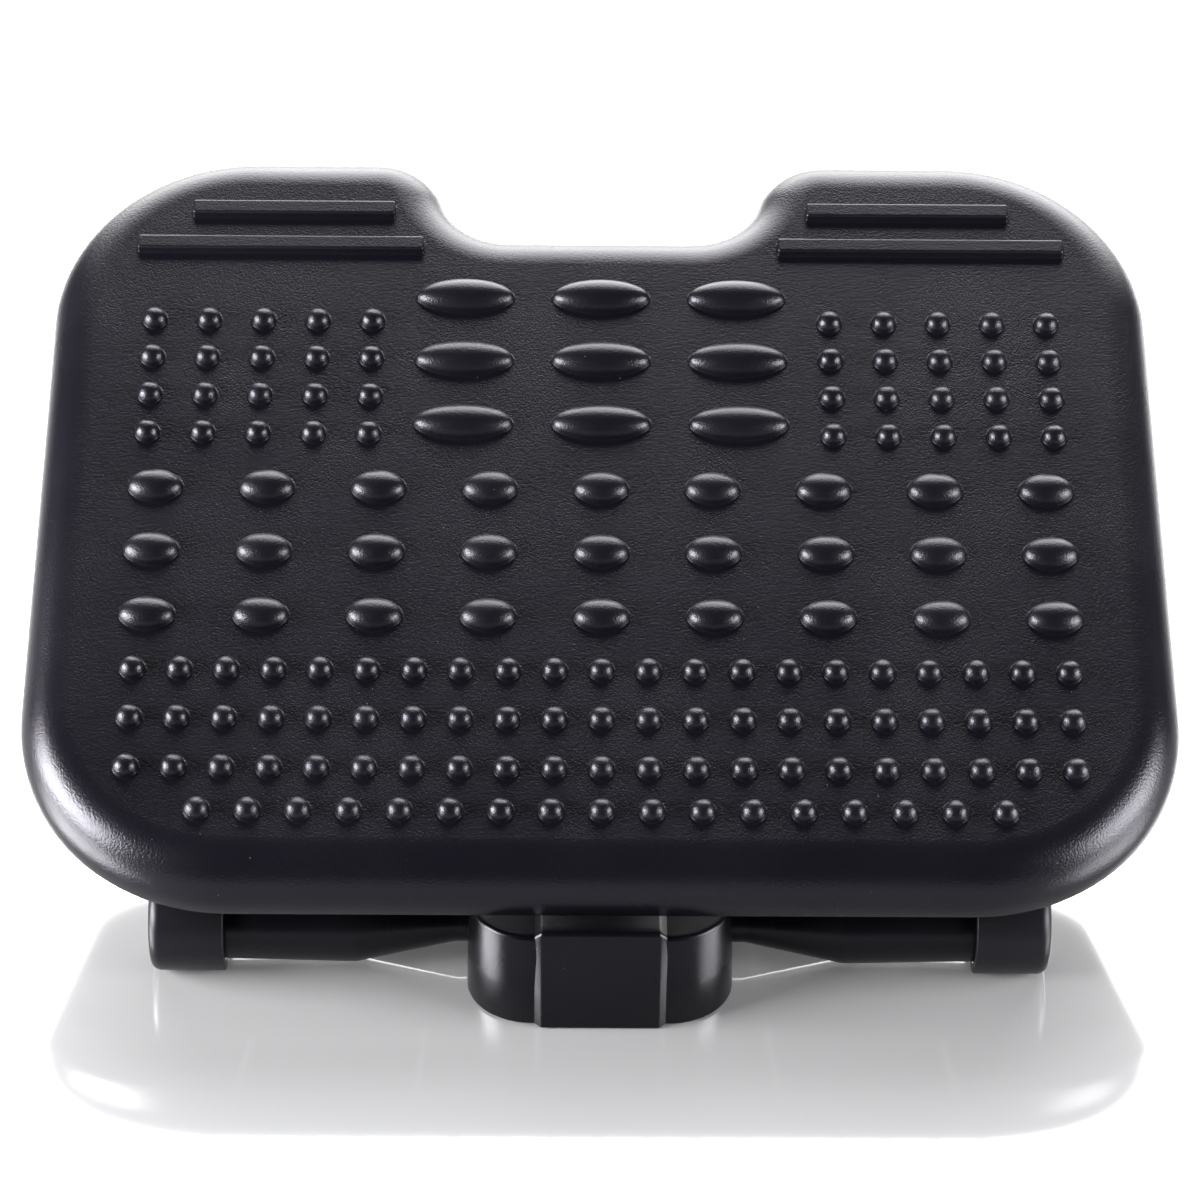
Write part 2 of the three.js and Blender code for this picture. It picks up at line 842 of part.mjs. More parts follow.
// Moves a solid made for the right side of the pivot's own line to one of the four arms.
const toArm = (solid, arm) =>
  place(arm.x < 0 ? mirrorX(solid) : solid, 0, arm.y * arm_line_y, arm_axis_height);

const post_places = [...fourCorners(post_x, pod_post_y), [0, -spine_post_y], [0, spine_post_y]];

function housingSolid() {
  const outer = housingForm(0, housing_rim_height, housing_height, housing_edge_radius);
  const seat = prism(
    roundedRectangle(seat_half_width, seat_half_length, seat_corner_radius, edge_facets),
    ceiling,
    band_top,
  );
  const hollow = housingForm(housing_wall, -overrun, ceiling, 0);
  const shell = cutAll(joinAll([outer, bandForm(), seat]), [hollow]);
  const socket = alongX(
    rod(socket_radius, arm_inner_x, housing_half_width - housing_wall, round_sides),
  );
  const screw_pad = place(
    rod(pan_head_radius + arm_screw_pad_rim, post_end - arm_axis_height, 0, screw_sides),
    arm_screw_x,
    0,
    0,
  );
  const bore = alongX(
    rod(
      arm_neck_radius + fit_gap,
      arm_inner_x - overrun,
      housing_half_width + overrun,
      round_sides,
    ),
  );
  const screw_way = place(
    rod(arm_screw_radius + fit_gap, -arm_axis_height, 0, screw_sides),
    arm_screw_x,
    0,
    0,
  );
  const post = rod(post_radius, post_end, ceiling + root_bite, screw_sides);
  const post_hole = rod(
    screw_radius + running_gap,
    0,
    plate_bottom_height + plate_screw_length + fit_gap,
    screw_sides,
  );
  const seat_hole = rod(
    screw_radius + fit_gap,
    ceiling - overrun,
    band_top + overrun,
    screw_sides,
  );
  const posts = post_places.map(([x, y]) => place(post, x, y, 0));
  const post_holes = post_places.map(([x, y]) => place(post_hole, x, y, 0));
  const seat_corners = fourCorners(pedestal_screw_x, pedestal_screw_y);
  const seat_holes = seat_corners.map(([x, y]) => place(seat_hole, x, y, 0));
  const sockets = fourArms.flatMap((arm) => [toArm(socket, arm), toArm(screw_pad, arm)]);
  const arm_cuts = fourArms.flatMap((arm) => [toArm(bore, arm), toArm(screw_way, arm)]);
  return cutAll(joinAll([shell, ...posts, ...sockets]), [
    ...arm_cuts,
    ...post_holes,
    ...seat_holes,
  ]);
}

function bottomPlateSolid() {
  const outline = outlineAt(plate_top, housing_wall + fit_gap);
  const plate = prism(outline, plate_bottom_height, plate_top);
  const screw_cut = countersunkScrew(plate_bottom_height - fit_gap, plate_top + overrun, fit_gap);
  const screw_cuts = post_places.map(([x, y]) => place(screw_cut, x, y, 0));
  const way = place(
    rod(pan_head_radius + screw_way_gap, -arm_axis_height, 0, end_sides),
    arm_screw_x,
    0,
    0,
  );
  return cutAll(plate, [...screw_cuts, ...fourArms.map((arm) => toArm(way, arm))]);
}

const plateScrewSolid = () =>
  countersunkScrew(plate_bottom_height, plate_bottom_height + plate_screw_length, 0);
const padSolid = () =>
  prism(
    roundedRectangle(pad_half_length, pad_half_width, pad_corner_radius, edge_facets),
    0,
    plate_bottom_height - fit_gap,
  );

// One arm, made along X on its own axis: a neck that plugs into the housing, a cone up to
// the kink and a slightly tapered barrel, hollow from its outer end.
function armSolid() {
  const bore_start = arm_kink_x;
  const form = revolve(
    [
      [0, arm_inner_x],
      [arm_neck_radius, arm_inner_x],
      [arm_neck_radius, arm_neck_end_x],
      [arm_kink_radius, arm_kink_x],
      [arm_end_radius, arm_outer_x],
      [arm_end_radius - arm_wall, arm_outer_x],
      [arm_kink_radius - arm_wall, bore_start],
      [0, bore_start - arm_neck_radius],
    ],
    arm_sides,
  );
  const hole = place(
    rod(arm_screw_radius + running_gap, -arm_neck_radius - overrun, 0, screw_sides),
    arm_screw_x,
    0,
    0,
  );
  return alongX(form).subtract(hole);
}

// A rubber cup over the arm's end, with a round outer edge and a flat to stand on.
function capSolid() {
  const bore = arm_end_radius + fit_gap;
  const edge_x = cap_outer_x - cap_edge_radius;
  const edge_centre = cap_radius - cap_edge_radius;
  const edge = circleArc(edge_x, edge_centre, cap_edge_radius, 0, quarter_turn, edge_facets)
    .map((p) => [p.y, p.x])
    .reverse();
  const mouth_bore =
    arm_end_radius +
    ((arm_kink_radius - arm_end_radius) * cap_cover) / arm_barrel_length +
    fit_gap;
  const cup = alongX(
    revolve(
      [
        [mouth_bore, cap_mouth_x],
        [cap_radius, cap_mouth_x],
        ...edge,
        [0, cap_outer_x],
        [0, arm_outer_x + fit_gap],
        [bore, arm_outer_x + fit_gap],
      ],
      cap_sides,
    ),
  );
  const below = box(
    [cap_mouth_x - overrun, -cap_radius, -cap_radius - overrun],
    [cap_outer_x + overrun, cap_radius, -arm_axis_height],
  );
  return cup.subtract(below);
}

function armScrewSolid() {
  const seat = post_end - running_gap - arm_axis_height;
  const tip = arm_screw_bite - arm_neck_radius;
  return place(panScrew(seat, tip, arm_screw_radius), arm_screw_x, 0, 0);
}

// Pedestal: a foot on the housing's seat, and a hollow tower whose head holds the bushes.
const foot_bottom = band_top + fit_gap;
const foot_top = foot_bottom + pedestal_foot_thickness;

function pedestalSolid() {
  const foot = prism(
    roundedRectangle(
      pedestal_foot_half_width,
      pedestal_foot_half_length,
      pedestal_foot_radius,
      edge_facets,
    ),
    foot_bottom,
    foot_top,
  );
  const drop = pivot_height - foot_top + root_bite;
  const tower = alongX(
    prism(
      taperedPlate(pedestal_tower_half_length, drop, pedestal_head_radius, end_sides),
      -pedestal_half_width,
      pedestal_half_width,
    ),
  ).translate([0, 0, pivot_height]);
  const inner_half = pedestal_half_width - pedestal_cheek;
  const hollow = alongX(
    prism(
      taperedPlate(
        pedestal_tower_half_length - pedestal_wall,
        pivot_height - foot_bottom + overrun,
        pedestal_head_radius - pedestal_wall,
        end_sides,
      ),
      -inner_half,
      inner_half,
    ),
  ).translate([0, 0, pivot_height]);
  const boss = alongX(
    rod(
      bush_boss_radius,
      pedestal_half_width - bush_length,
      pedestal_half_width - root_bite,
      round_sides,
    ),
  ).translate([0, 0, pivot_height]);
  const gusset_profile = [
    new THREE.Vector2(pedestal_half_width - root_bite, foot_top - root_bite),
    new THREE.Vector2(pedestal_half_width + gusset_reach, foot_top - root_bite),
    new THREE.Vector2(pedestal_half_width - root_bite, foot_top + gusset_height),
  ];
  const gusset_half = gusset_thickness / 2;
  const gusset = prism(gusset_profile, -gusset_half, gusset_half).rotate([90, 0, 0]);
  const gussets = [-gusset_y, gusset_y].map((y) => place(gusset, 0, y, 0));
  const across = pedestal_half_width + overrun;
  const bush_bore = rod(bush_radius + running_gap, -across, across, round_sides);
  const pin_bore = rod(limit_pin_radius + running_gap, -across, across, round_sides);
  const screw_hole = rod(
    screw_radius + running_gap,
    foot_bottom - overrun,
    foot_top + overrun,
    screw_sides,
  );
  const corners = fourCorners(pedestal_screw_x, pedestal_screw_y);
  const body = cutAll(joinAll([foot, tower, ...gussets, ...gussets.map(mirrorX)]), [hollow]);
  return cutAll(joinAll([body, boss, mirrorX(boss)]), [
    alongX(bush_bore).translate([0, 0, pivot_height]),
    alongX(pin_bore).translate([0, 0, pivot_height - limit_pin_orbit]),
    ...corners.map(([x, y]) => place(screw_hole, x, y, 0)),
  ]);
}

// Assembly
const footrest = new THREE.Group();
const base = new THREE.Group();
const tilting = new THREE.Group();
tilting.position.z = pivot_height;
tilting.rotation.x = rest_tilt;
footrest.add(base, tilting);

function addPiece(group, name, solid, material, x = 0, y = 0, z = 0) {
  const mesh = new THREE.Mesh(toGeometry(solid), material);
  mesh.name = name;
  mesh.position.set(x, y, z);
  group.add(mesh);
}

addPiece(base, "base_housing", housingSolid(), base_plastic);
addPiece(base, "bottom_plate", bottomPlateSolid(), base_plastic);
addPiece(base, "pedestal", pedestalSolid(), base_plastic);
addPiece(base, "limit_pin", limitPinSolid(), zinc_steel, 0, 0, pivot_height - limit_pin_orbit);

fourArms.forEach((arm) => {
  addPiece(base, "arm_" + arm.name, toArm(armSolid(), arm), arm_plastic);
  addPiece(base, "end_cap_" + arm.name, toArm(capSolid(), arm), cap_rubber);
  addPiece(base, "arm_screw_" + arm.name, toArm(armScrewSolid(), arm), zinc_steel);
});

sides.forEach(([side, x]) => {
  const turned = (solid) => (x < 0 ? mirrorX(solid) : solid);
  const bush = turned(bushSolid());
  const washer = turned(frictionWasherSolid());
  addPiece(base, "pivot_bush_" + side, bush, white_nylon, 0, 0, pivot_height);
  addPiece(base, "friction_washer_" + side, washer, friction_fibre, 0, 0, pivot_height);
});

post_places.forEach(([x, y], i) => {
  addPiece(base, "plate_screw_" + (i + 1), plateScrewSolid(), zinc_steel, x, y);
});
fourCorners(pedestal_screw_x, pedestal_screw_y).forEach(([x, y], i) => {
  const tip = band_top + pedestal_screw_bite;
  const screw = panScrew(ceiling - running_gap, tip, screw_radius);
  addPiece(base, "pedestal_screw_" + (i + 1), screw, zinc_steel, x, y);
});

addPiece(base, "foot_pad_front", padSolid(), cap_rubber, 0, -end_pad_y);
addPiece(base, "foot_pad_middle", padSolid(), cap_rubber);
addPiece(base, "foot_pad_rear", padSolid(), cap_rubber, 0, end_pad_y);

addPiece(tilting, "platform", platformSolid(), platform_plastic);
addPiece(tilting, "pivot_bracket", bracketSolid(), base_plastic);
addPiece(tilting, "pivot_bolt", boltSolid(), zinc_steel);
addPiece(tilting, "flat_washer", flatWasherSolid(), zinc_steel);
addPiece(tilting, "spring_washer", springWasherSolid(), zinc_steel);
addPiece(tilting, "pivot_nut", nutSolid(), zinc_steel);
fourCorners(bracket_screw_x, bracket_screw_y).forEach(([x, y], i) => {
  const screw = panScrew(flange_bottom - running_gap, boss_end + bracket_screw_bite, screw_radius);
  addPiece(tilting, "bracket_screw_" + (i + 1), screw, zinc_steel, x, y);
});

export default footrest;
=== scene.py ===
# %% [markdown]
# # A tilting footrest, dressed around its CAD frame
#
# The footrest is a black moulded platform with massage bumps, tilted towards the user, on a
# low base with four arms and rubber end caps. The CAD model already fixes every size, place
# and joint. This lesson gives each piece its fine surface and its finish.
# Lengths are metres, X runs to the right, Y away from the user and Z up.

# %% Load the frame
import json

import bpy
import numpy as np
from mathutils import Matrix, Vector
from mathutils.geometry import delaunay_2d_cdt


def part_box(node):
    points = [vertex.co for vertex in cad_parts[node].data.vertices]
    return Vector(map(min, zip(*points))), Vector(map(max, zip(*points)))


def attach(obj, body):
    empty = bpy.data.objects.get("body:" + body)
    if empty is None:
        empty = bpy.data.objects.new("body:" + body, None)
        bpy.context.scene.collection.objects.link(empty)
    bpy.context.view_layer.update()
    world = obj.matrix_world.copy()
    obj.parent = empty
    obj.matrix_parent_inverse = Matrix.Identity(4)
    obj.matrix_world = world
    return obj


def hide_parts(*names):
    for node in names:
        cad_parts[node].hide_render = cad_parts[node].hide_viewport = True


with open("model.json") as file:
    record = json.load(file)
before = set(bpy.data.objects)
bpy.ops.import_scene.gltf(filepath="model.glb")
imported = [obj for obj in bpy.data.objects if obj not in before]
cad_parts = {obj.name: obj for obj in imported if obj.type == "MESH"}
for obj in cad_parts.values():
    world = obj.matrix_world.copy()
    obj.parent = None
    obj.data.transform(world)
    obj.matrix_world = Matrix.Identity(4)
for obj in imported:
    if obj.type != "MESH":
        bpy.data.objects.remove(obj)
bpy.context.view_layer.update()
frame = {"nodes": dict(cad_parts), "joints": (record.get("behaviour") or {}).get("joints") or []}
PIVOT_HEIGHT = frame["joints"][0]["pos_m"][2]
QUARTER = np.pi / 2
print("frame:", len(frame["nodes"]), "nodes; pivot height", round(PIVOT_HEIGHT, 4))

# %% Helpers for objects and nodes
WHITE = (1, 1, 1, 1)


def add_object(name, data):
    """An object that shows some data, linked into the scene."""
    made = bpy.data.objects.new(name, data)
    bpy.context.scene.collection.objects.link(made)
    return made


def plain_mesh(name, shape):
    """A mesh of a shape, which is a pair of points and faces."""
    points, faces = shape
    mesh = bpy.data.meshes.new(name)
    mesh.from_pydata(np.asarray(points).tolist(), [], [list(map(int, face)) for face in faces])
    return mesh


def set_input(tree, socket, value):
    """Gives an input a value, or links it where the value is another node's output."""
    if isinstance(value, bpy.types.NodeSocket):
        tree.links.new(value, socket)
    else:
        socket.default_value = value


def add_node(tree, kind, *inputs, **values):
    """Adds a node: values set its properties or named inputs, and the rest its first inputs."""
    node = tree.nodes.new("ShaderNode" + kind)
    for name, value in values.items():
        if hasattr(node, name):
            setattr(node, name, value)
        else:
            set_input(tree, node.inputs[name], value)
    for socket, value in zip(node.inputs, inputs):
        set_input(tree, socket, value)
    return node


def math(tree, operation, *values):
    """The output of a Math node of one or two values, each a number or an output."""
    return add_node(tree, "Math", *values, operation=operation).outputs[0]


def remap(tree, value, source, target, kind="SMOOTHSTEP"):
    """The output of a Map Range node that carries a value from one range to another."""
    return add_node(tree, "MapRange", value, *source, *target, interpolation_type=kind).outputs[0]


def mix_shaders(tree, share, first, second):
    """A Mix Shader node between two shader nodes."""
    return add_node(tree, "MixShader", share, first.outputs[0], second.outputs[0])


print("helpers: objects and nodes")

# %% [markdown]
# ## The view
#
# The photograph looks down on the footrest from the front through a long lens. The camera's
# place and its turns are worked out from the rows of bumps, so that a bump in the render
# lands on the same bump in the photograph.

# %% Camera
CAMERA_YAW, CAMERA_PITCH, CAMERA_ROLL = np.radians([-0.698, 33.259, 0.691])
CAMERA_DISTANCE, CAMERA_HEIGHT, CAMERA_ASIDE = 1.4216, 1.0177, 0.00034
CAMERA_LENS, CAMERA_SENSOR, SHIFT_X = 126.03, 36.0, -0.0006

camera_data = bpy.data.cameras.new("camera")
camera_data.lens = CAMERA_LENS
camera_data.sensor_width = CAMERA_SENSOR
camera_data.shift_x = SHIFT_X
camera = add_object("camera", camera_data)
yaw = Matrix.Rotation(CAMERA_YAW, 3, "Z")
pitch = Matrix.Rotation(QUARTER - CAMERA_PITCH, 3, "X")
roll = Matrix.Rotation(CAMERA_ROLL, 3, "Z")
camera.location = yaw @ Vector((0, -CAMERA_DISTANCE, CAMERA_HEIGHT)) + Vector((CAMERA_ASIDE, 0, 0))
camera.rotation_euler = (yaw @ pitch @ roll).to_euler()
bpy.context.scene.camera = camera
bpy.context.scene.view_settings.view_transform = "Standard"
print("camera:", CAMERA_LENS, "mm, pitched down", round(np.degrees(CAMERA_PITCH), 2))

# %% [markdown]
# ## The studio
#
# Glossy black plastic shows its surroundings more than its own colour, so the studio shapes
# the highlights. A pale wall behind the object lights every far edge, and the ceiling stays
# dark so that the flat plate stays black. Two tall soft boxes at the left and right reach
# down to the floor, so that a lamp and its mirror image join in one broad band on each edge.
# The floor is glossy acrylic, part matt and part mirror. Its grey renders pale under the
# lamps, and far from the object it turns white for the camera, like the paper behind.

# %% World: a bright wall behind that ends overhead, and darkness on every other side
WALL_LEVEL, WALL_FOR_MATT, DARK_LEVEL = 11.0, 0.9, 0.01
WALL_SIDES, WALL_SHIFT = (0.36, 0.66), 0.07
WALL_END, WALL_CURVE = (0.28, 0.50), 0.45
HORIZON_SHARE, HORIZON_TOP, HORIZON_FADE = 0.3, 0.35, 0.02

world = bpy.data.worlds.new("studio")
bpy.context.scene.world = world
world.use_nodes = True
sky = world.node_tree
sky.nodes.clear()
direction = add_node(sky, "SeparateXYZ", add_node(sky, "TexCoord").outputs["Generated"]).outputs
ray = add_node(sky, "LightPath").outputs
aside = math(sky, "ABSOLUTE", math(sky, "SUBTRACT", direction["X"], WALL_SHIFT))
curved = math(sky, "SUBTRACT", direction["Y"], math(sky, "MULTIPLY", aside, WALL_CURVE))
behind = remap(sky, curved, WALL_END, (0.0, 1.0), "LINEAR")
middle = remap(sky, aside, WALL_SIDES, (1.0, 0.0))
strength = remap(sky, ray["Is Diffuse Ray"], (0.0, 1.0), (WALL_LEVEL, WALL_FOR_MATT))
horizon = remap(sky, direction["Z"], (0.0, HORIZON_TOP), (HORIZON_SHARE, 1.0))
place_share = math(sky, "MULTIPLY", behind, middle)
lit = math(sky, "MULTIPLY", place_share, math(sky, "MULTIPLY", horizon, strength))
above = remap(sky, direction["Z"], (-HORIZON_FADE, 0.0), (0.0, 1.0))
level = math(sky, "MULTIPLY", math(sky, "ADD", lit, DARK_LEVEL), above)
walls = add_node(sky, "Background", Color=WHITE, Strength=level)
paper = add_node(sky, "Background", Color=WHITE, Strength=1.0)
choice = mix_shaders(sky, ray["Is Camera Ray"], walls, paper)
add_node(sky, "OutputWorld", choice.outputs[0])
print("world: wall level", WALL_LEVEL)

# %% Soft boxes
AIM = Vector((0.0, 0.0, 0.06))
LEFT_LAMP = dict(place=(-1.49, -0.40, 0.47), width=1.1, height=0.76, power=137)
RIGHT_LAMP = dict(place=(1.46, -0.50, 0.47), width=0.95, height=0.76, power=62)


def soft_box(name, place, width, height, power):
    """A rectangular lamp at a place, turned so that its face looks at the object."""
    data = bpy.data.lights.new(name, "AREA")
    data.shape = "RECTANGLE"
    data.size, data.size_y, data.energy = width, height, power
    lamp = add_object(name, data)
    lamp.location = place
    lamp.rotation_euler = (AIM - Vector(place)).to_track_quat("-Z", "Y").to_euler()


soft_box("left_soft_box", **LEFT_LAMP)
soft_box("right_soft_box", **RIGHT_LAMP)
print("soft boxes: left and right")

# %% Floor
FLOOR_HALF, FLOOR_DROP = 6.0, 0.00005
FLOOR_GREY = (0.40, 0.40, 0.406, 1)
MIRROR_SHARE, MIRROR_BLUR = 0.40, 0.06
PAPER_FROM = (0.7, 1.3)

quarters = ((-1, -1), (1, -1), (1, 1), (-1, 1))
square = [(x * FLOOR_HALF, y * FLOOR_HALF, -FLOOR_DROP) for x, y in quarters]
floor = add_object("floor", plain_mesh("floor", (square, [(0, 1, 2, 3)])))
acrylic = bpy.data.materials.new("white_acrylic")
acrylic.use_nodes = True
tree = acrylic.node_tree
tree.nodes.clear()
matt = add_node(tree, "BsdfDiffuse", Color=FLOOR_GREY)
mirror = add_node(tree, "BsdfGlossy", Color=WHITE, Roughness=MIRROR_BLUR)
blend = mix_shaders(tree, MIRROR_SHARE, matt, mirror)
spot = add_node(tree, "TexCoord").outputs["Object"]
distance = add_node(tree, "VectorMath", spot, operation="LENGTH").outputs["Value"]
far = remap(tree, distance, PAPER_FROM, (0.0, 1.0))
seen = add_node(tree, "LightPath").outputs["Is Camera Ray"]
backdrop = mix_shaders(tree, math(tree, "MULTIPLY", far, seen), blend, add_node(tree, "Emission"))
add_node(tree, "OutputMaterial", backdrop.outputs[0])
floor.data.materials.append(acrylic)
print("floor: mirror share", MIRROR_SHARE)

# %% [markdown]
# ## Finishes
#
# All the plastic is nearly black with a touch of violet, the base a little darker than the
# platform, and what tells the pieces apart is texture. The platform carries a fine leather
# grain, the base and arms a finer spark texture, and the caps are dry rubber. Grain, spark
# and dust are node groups, and each material gives them its own values, so that a change to
# the grain is made once.

# %% Shared effects
GRAIN_SCALE, SPARK_SCALE, DUST_SCALE, DUST_SIZE = 900.0, 2400.0, 160.0, 0.06
WARP_SCALE, WARP_REACH, FINE_SCALE, FINE_SHARE = 0.6, 0.9, 2.3, 0.5
GRAIN_MOTTLE, SPARK_MOTTLE, SPARK_DETAIL = 14.0, 22.0, 3.0
PATCH_SCALE, PATCH_FROM = 30.0, 0.55


def effect_group(name, inputs, outputs):
    """An empty node group with a vector, float inputs with defaults, and float outputs."""
    group = bpy.data.node_groups.new(name, "ShaderNodeTree")
    add = group.interface.new_socket
    add("Vector", in_out="INPUT", socket_type="NodeSocketVector").hide_value = True
    for label, default in inputs.items():
        add(label, in_out="INPUT", socket_type="NodeSocketFloat").default_value = default
    for label in outputs:
        add(label, in_out="OUTPUT", socket_type="NodeSocketFloat")
    start, end = group.nodes.new("NodeGroupInput"), group.nodes.new("NodeGroupOutput")
    return group, start.outputs, end.inputs


def add_mottle(group, vector, scale, result):
    """Gives a group's Mottle output a broad noise."""
    broad = add_node(group, "TexNoise", Vector=vector, Scale=scale)
    group.links.new(broad.outputs["Fac"], result["Mottle"])


def grain_group():
    """Leather grain: rounded cells with creases between them, broken up by a finer noise."""
    group, given, result = effect_group("leather_grain", {"Scale": GRAIN_SCALE}, ["Height", "Mottle"])
    vector, scale = given["Vector"], given["Scale"]
    warp = add_node(group, "TexNoise", Vector=vector, Scale=math(group, "MULTIPLY", scale, WARP_SCALE))
    reach = math(group, "DIVIDE", WARP_REACH, scale)
    shift = add_node(group, "VectorMath", warp.outputs["Color"], operation="SCALE", Scale=reach)
    moved_to = add_node(group, "VectorMath", vector, shift.outputs[0], operation="ADD").outputs[0]
    cells = add_node(group, "TexVoronoi", feature="SMOOTH_F1", Vector=moved_to, Scale=scale)
    fine = add_node(group, "TexNoise", Vector=vector, Scale=math(group, "MULTIPLY", scale, FINE_SCALE))
    dome = math(group, "SUBTRACT", 1.0, cells.outputs["Distance"])
    total = math(group, "ADD", dome, math(group, "MULTIPLY", fine.outputs["Fac"], FINE_SHARE))
    group.links.new(total, result["Height"])
    add_mottle(group, vector, GRAIN_MOTTLE, result)
    return group


def spark_group():
    """Spark texture: octaves of fine noise, as an eroded mould leaves on plastic."""
    group, given, result = effect_group("spark_texture", {"Scale": SPARK_SCALE}, ["Height", "Mottle"])
    vector = given["Vector"]
    fine = add_node(group, "TexNoise", Vector=vector, Scale=given["Scale"], Detail=SPARK_DETAIL)
    group.links.new(fine.outputs["Fac"], result["Height"])
    add_mottle(group, vector, SPARK_MOTTLE, result)
    return group


def dust_group():
    """Dust: small specks where a cell's own centre lies close, in patches of a broad noise."""
    inputs = {"Scale": DUST_SCALE, "Size": DUST_SIZE}
    group, given, result = effect_group("dust_specks", inputs, ["Mask"])
    cells = add_node(group, "TexVoronoi", Vector=given["Vector"], Scale=given["Scale"])
    near = math(group, "LESS_THAN", cells.outputs["Distance"], given["Size"])
    patches = add_node(group, "TexNoise", Vector=given["Vector"], Scale=PATCH_SCALE)
    some = math(group, "GREATER_THAN", patches.outputs["Fac"], PATCH_FROM)
    group.links.new(math(group, "MULTIPLY", near, some), result["Mask"])
    return group


leather_grain, spark_texture, dust_specks = grain_group(), spark_group(), dust_group()
print("effects:", leather_grain.name, spark_texture.name, dust_specks.name)

# %% Materials
PLATFORM_BLACK = (0.0026, 0.0023, 0.0038, 1)
BASE_BLACK = (0.0009, 0.0008, 0.0014, 1)
RUBBER_GREY = (0.0030, 0.0029, 0.0038, 1)
ZINC = (0.55, 0.56, 0.57, 1)
NYLON = (0.68, 0.66, 0.60, 1)
FIBRE = (0.15, 0.085, 0.05, 1)
DUST_GREY = (0.10, 0.10, 0.11, 1)
SHEEN = (0.92, 0.90, 1.0, 1)
MOTTLE_GAIN, MOTTLE_RANGE, ROUGHNESS_SPREAD = 1.35, (0.3, 0.7), 0.05
SOFT_ROUGHNESS, SOFT_GRAIN = 0.06, 0.1


def mix_colour(tree, share, first, second):
    """The output of a colour mix by a share, between two colours or outputs."""
    node = add_node(tree, "Mix", share, data_type="RGBA")
    set_input(tree, node.inputs[6], first)
    set_input(tree, node.inputs[7], second)
    return node.outputs[2]


def moulded(name, colour, roughness, effect, scale, depth, dust=0.03, shine=0.22, metallic=0.0):
    """A moulded finish: one colour with a faint mottle and dust, and a bump from an effect."""
    material = bpy.data.materials.new(name)
    material.use_nodes = True
    tree = material.node_tree
    shader = tree.nodes["Principled BSDF"].inputs
    place = add_node(tree, "TexCoord").outputs["Object"]
    relief = add_node(tree, "Group", node_tree=effect, Vector=place, Scale=scale).outputs
    specks = add_node(tree, "Group", node_tree=dust_specks, Vector=place, Size=dust).outputs["Mask"]
    lighter = tuple(MOTTLE_GAIN * c for c in colour[:3]) + (1,)
    base = mix_colour(tree, relief["Mottle"], colour, lighter)
    spread = (roughness - ROUGHNESS_SPREAD / 2, roughness + ROUGHNESS_SPREAD / 2)
    bump = add_node(tree, "Bump", Strength=1.0, Distance=depth, Height=relief["Height"])
    for label, value in {
        "Base Color": mix_colour(tree, specks, base, DUST_GREY),
        "Roughness": remap(tree, relief["Mottle"], MOTTLE_RANGE, spread),
        "Normal": bump.outputs[0],
        "Specular IOR Level": shine,
        "Specular Tint": SHEEN,
        "Metallic": metallic,
    }.items():
        set_input(tree, shader[label], value)
    return material


def platform_finish():
    """The platform's plastic: rougher, with a shallower grain, where softness is high.

    Softness is an attribute of the mesh: 1 on the bumps, and far more on the underside, whose
    ribs would otherwise throw streaks into the floor's mirror.
    """
    material = moulded(
        "grained_platform_plastic", PLATFORM_BLACK, 0.27, leather_grain, 1300.0, 0.00009, shine=0.27
    )
    tree = material.node_tree
    roughness = tree.nodes["Principled BSDF"].inputs["Roughness"]
    relief = tree.nodes["Principled BSDF"].inputs["Normal"].links[0].from_node.inputs["Height"]
    softness = add_node(tree, "Attribute", attribute_name="softness").outputs["Fac"]
    rougher = math(tree, "MULTIPLY", softness, SOFT_ROUGHNESS)
    kept = math(tree, "SUBTRACT", 1.0, math(tree, "MULTIPLY", softness, SOFT_GRAIN))
    set_input(tree, roughness, math(tree, "ADD", roughness.links[0].from_socket, rougher))
    set_input(tree, relief, math(tree, "MULTIPLY", relief.links[0].from_socket, kept))
    return material


# Each finish has a name, a colour, a roughness and an effect with its scale and depth.
FINISHES = {
    "platform_plastic": platform_finish(),
    "base_plastic": moulded("spark_base_plastic", BASE_BLACK, 0.28, spark_texture, 2600.0, 0.00004),
    "arm_plastic": moulded("satin_arm_plastic", BASE_BLACK, 0.28, spark_texture, 3000.0, 0.00001),
    "cap_rubber": moulded(
        "dry_cap_rubber", RUBBER_GREY, 0.40, spark_texture, 1700.0, 0.00002, dust=0.04
    ),
    "zinc_steel": moulded(
        "zinc_steel", ZINC, 0.34, spark_texture, 1500.0, 0.00003, dust=0.0, shine=0.5, metallic=1.0
    ),
    "white_nylon": moulded(
        "white_nylon", NYLON, 0.5, spark_texture, 2200.0, 0.00004, dust=0.0, shine=0.5
    ),
    "friction_fibre": moulded("friction_fibre", FIBRE, 0.85, leather_grain, 2600.0, 0.0001, dust=0.0),
}
print("finishes:", *FINISHES)

# %% [markdown]
# ## Shapes from arrays
#
# Every new surface here is a grid: rings of points, one after another, joined by four-sided
# faces. A moulded cup, a tub and a bump differ only in how their rings are worked out. The
# helpers below turn any stack of rings into a closed shape, a pair of points and faces, and
# put it on its CAD body. Shapes overlap by a fixed length, and tools for holes reach as far
# past a face. Beside a rounded edge lies one more ring, a hold, which keeps its smooth
# shading off the flat.

# %% Helpers for shapes
SMOOTH_ANGLE = np.radians(38)
OVERLAP, CHAMFER, HOLD = 0.001, 0.0004, 0.0006
ROUNDED_STEPS = 4


def full_turn(count):
    """Even angles round a full turn."""
    return np.linspace(0, 2 * np.pi, count, endpoint=False)


def arc(centre_x, centre_y, radius_x, radius_y, start, end, count):
    """Points of an arc: the centre plus the radii times cosine and sine of even angles."""
    angle = np.linspace(start, end, count)
    return np.column_stack([centre_x + radius_x * np.cos(angle), centre_y + radius_y * np.sin(angle)])


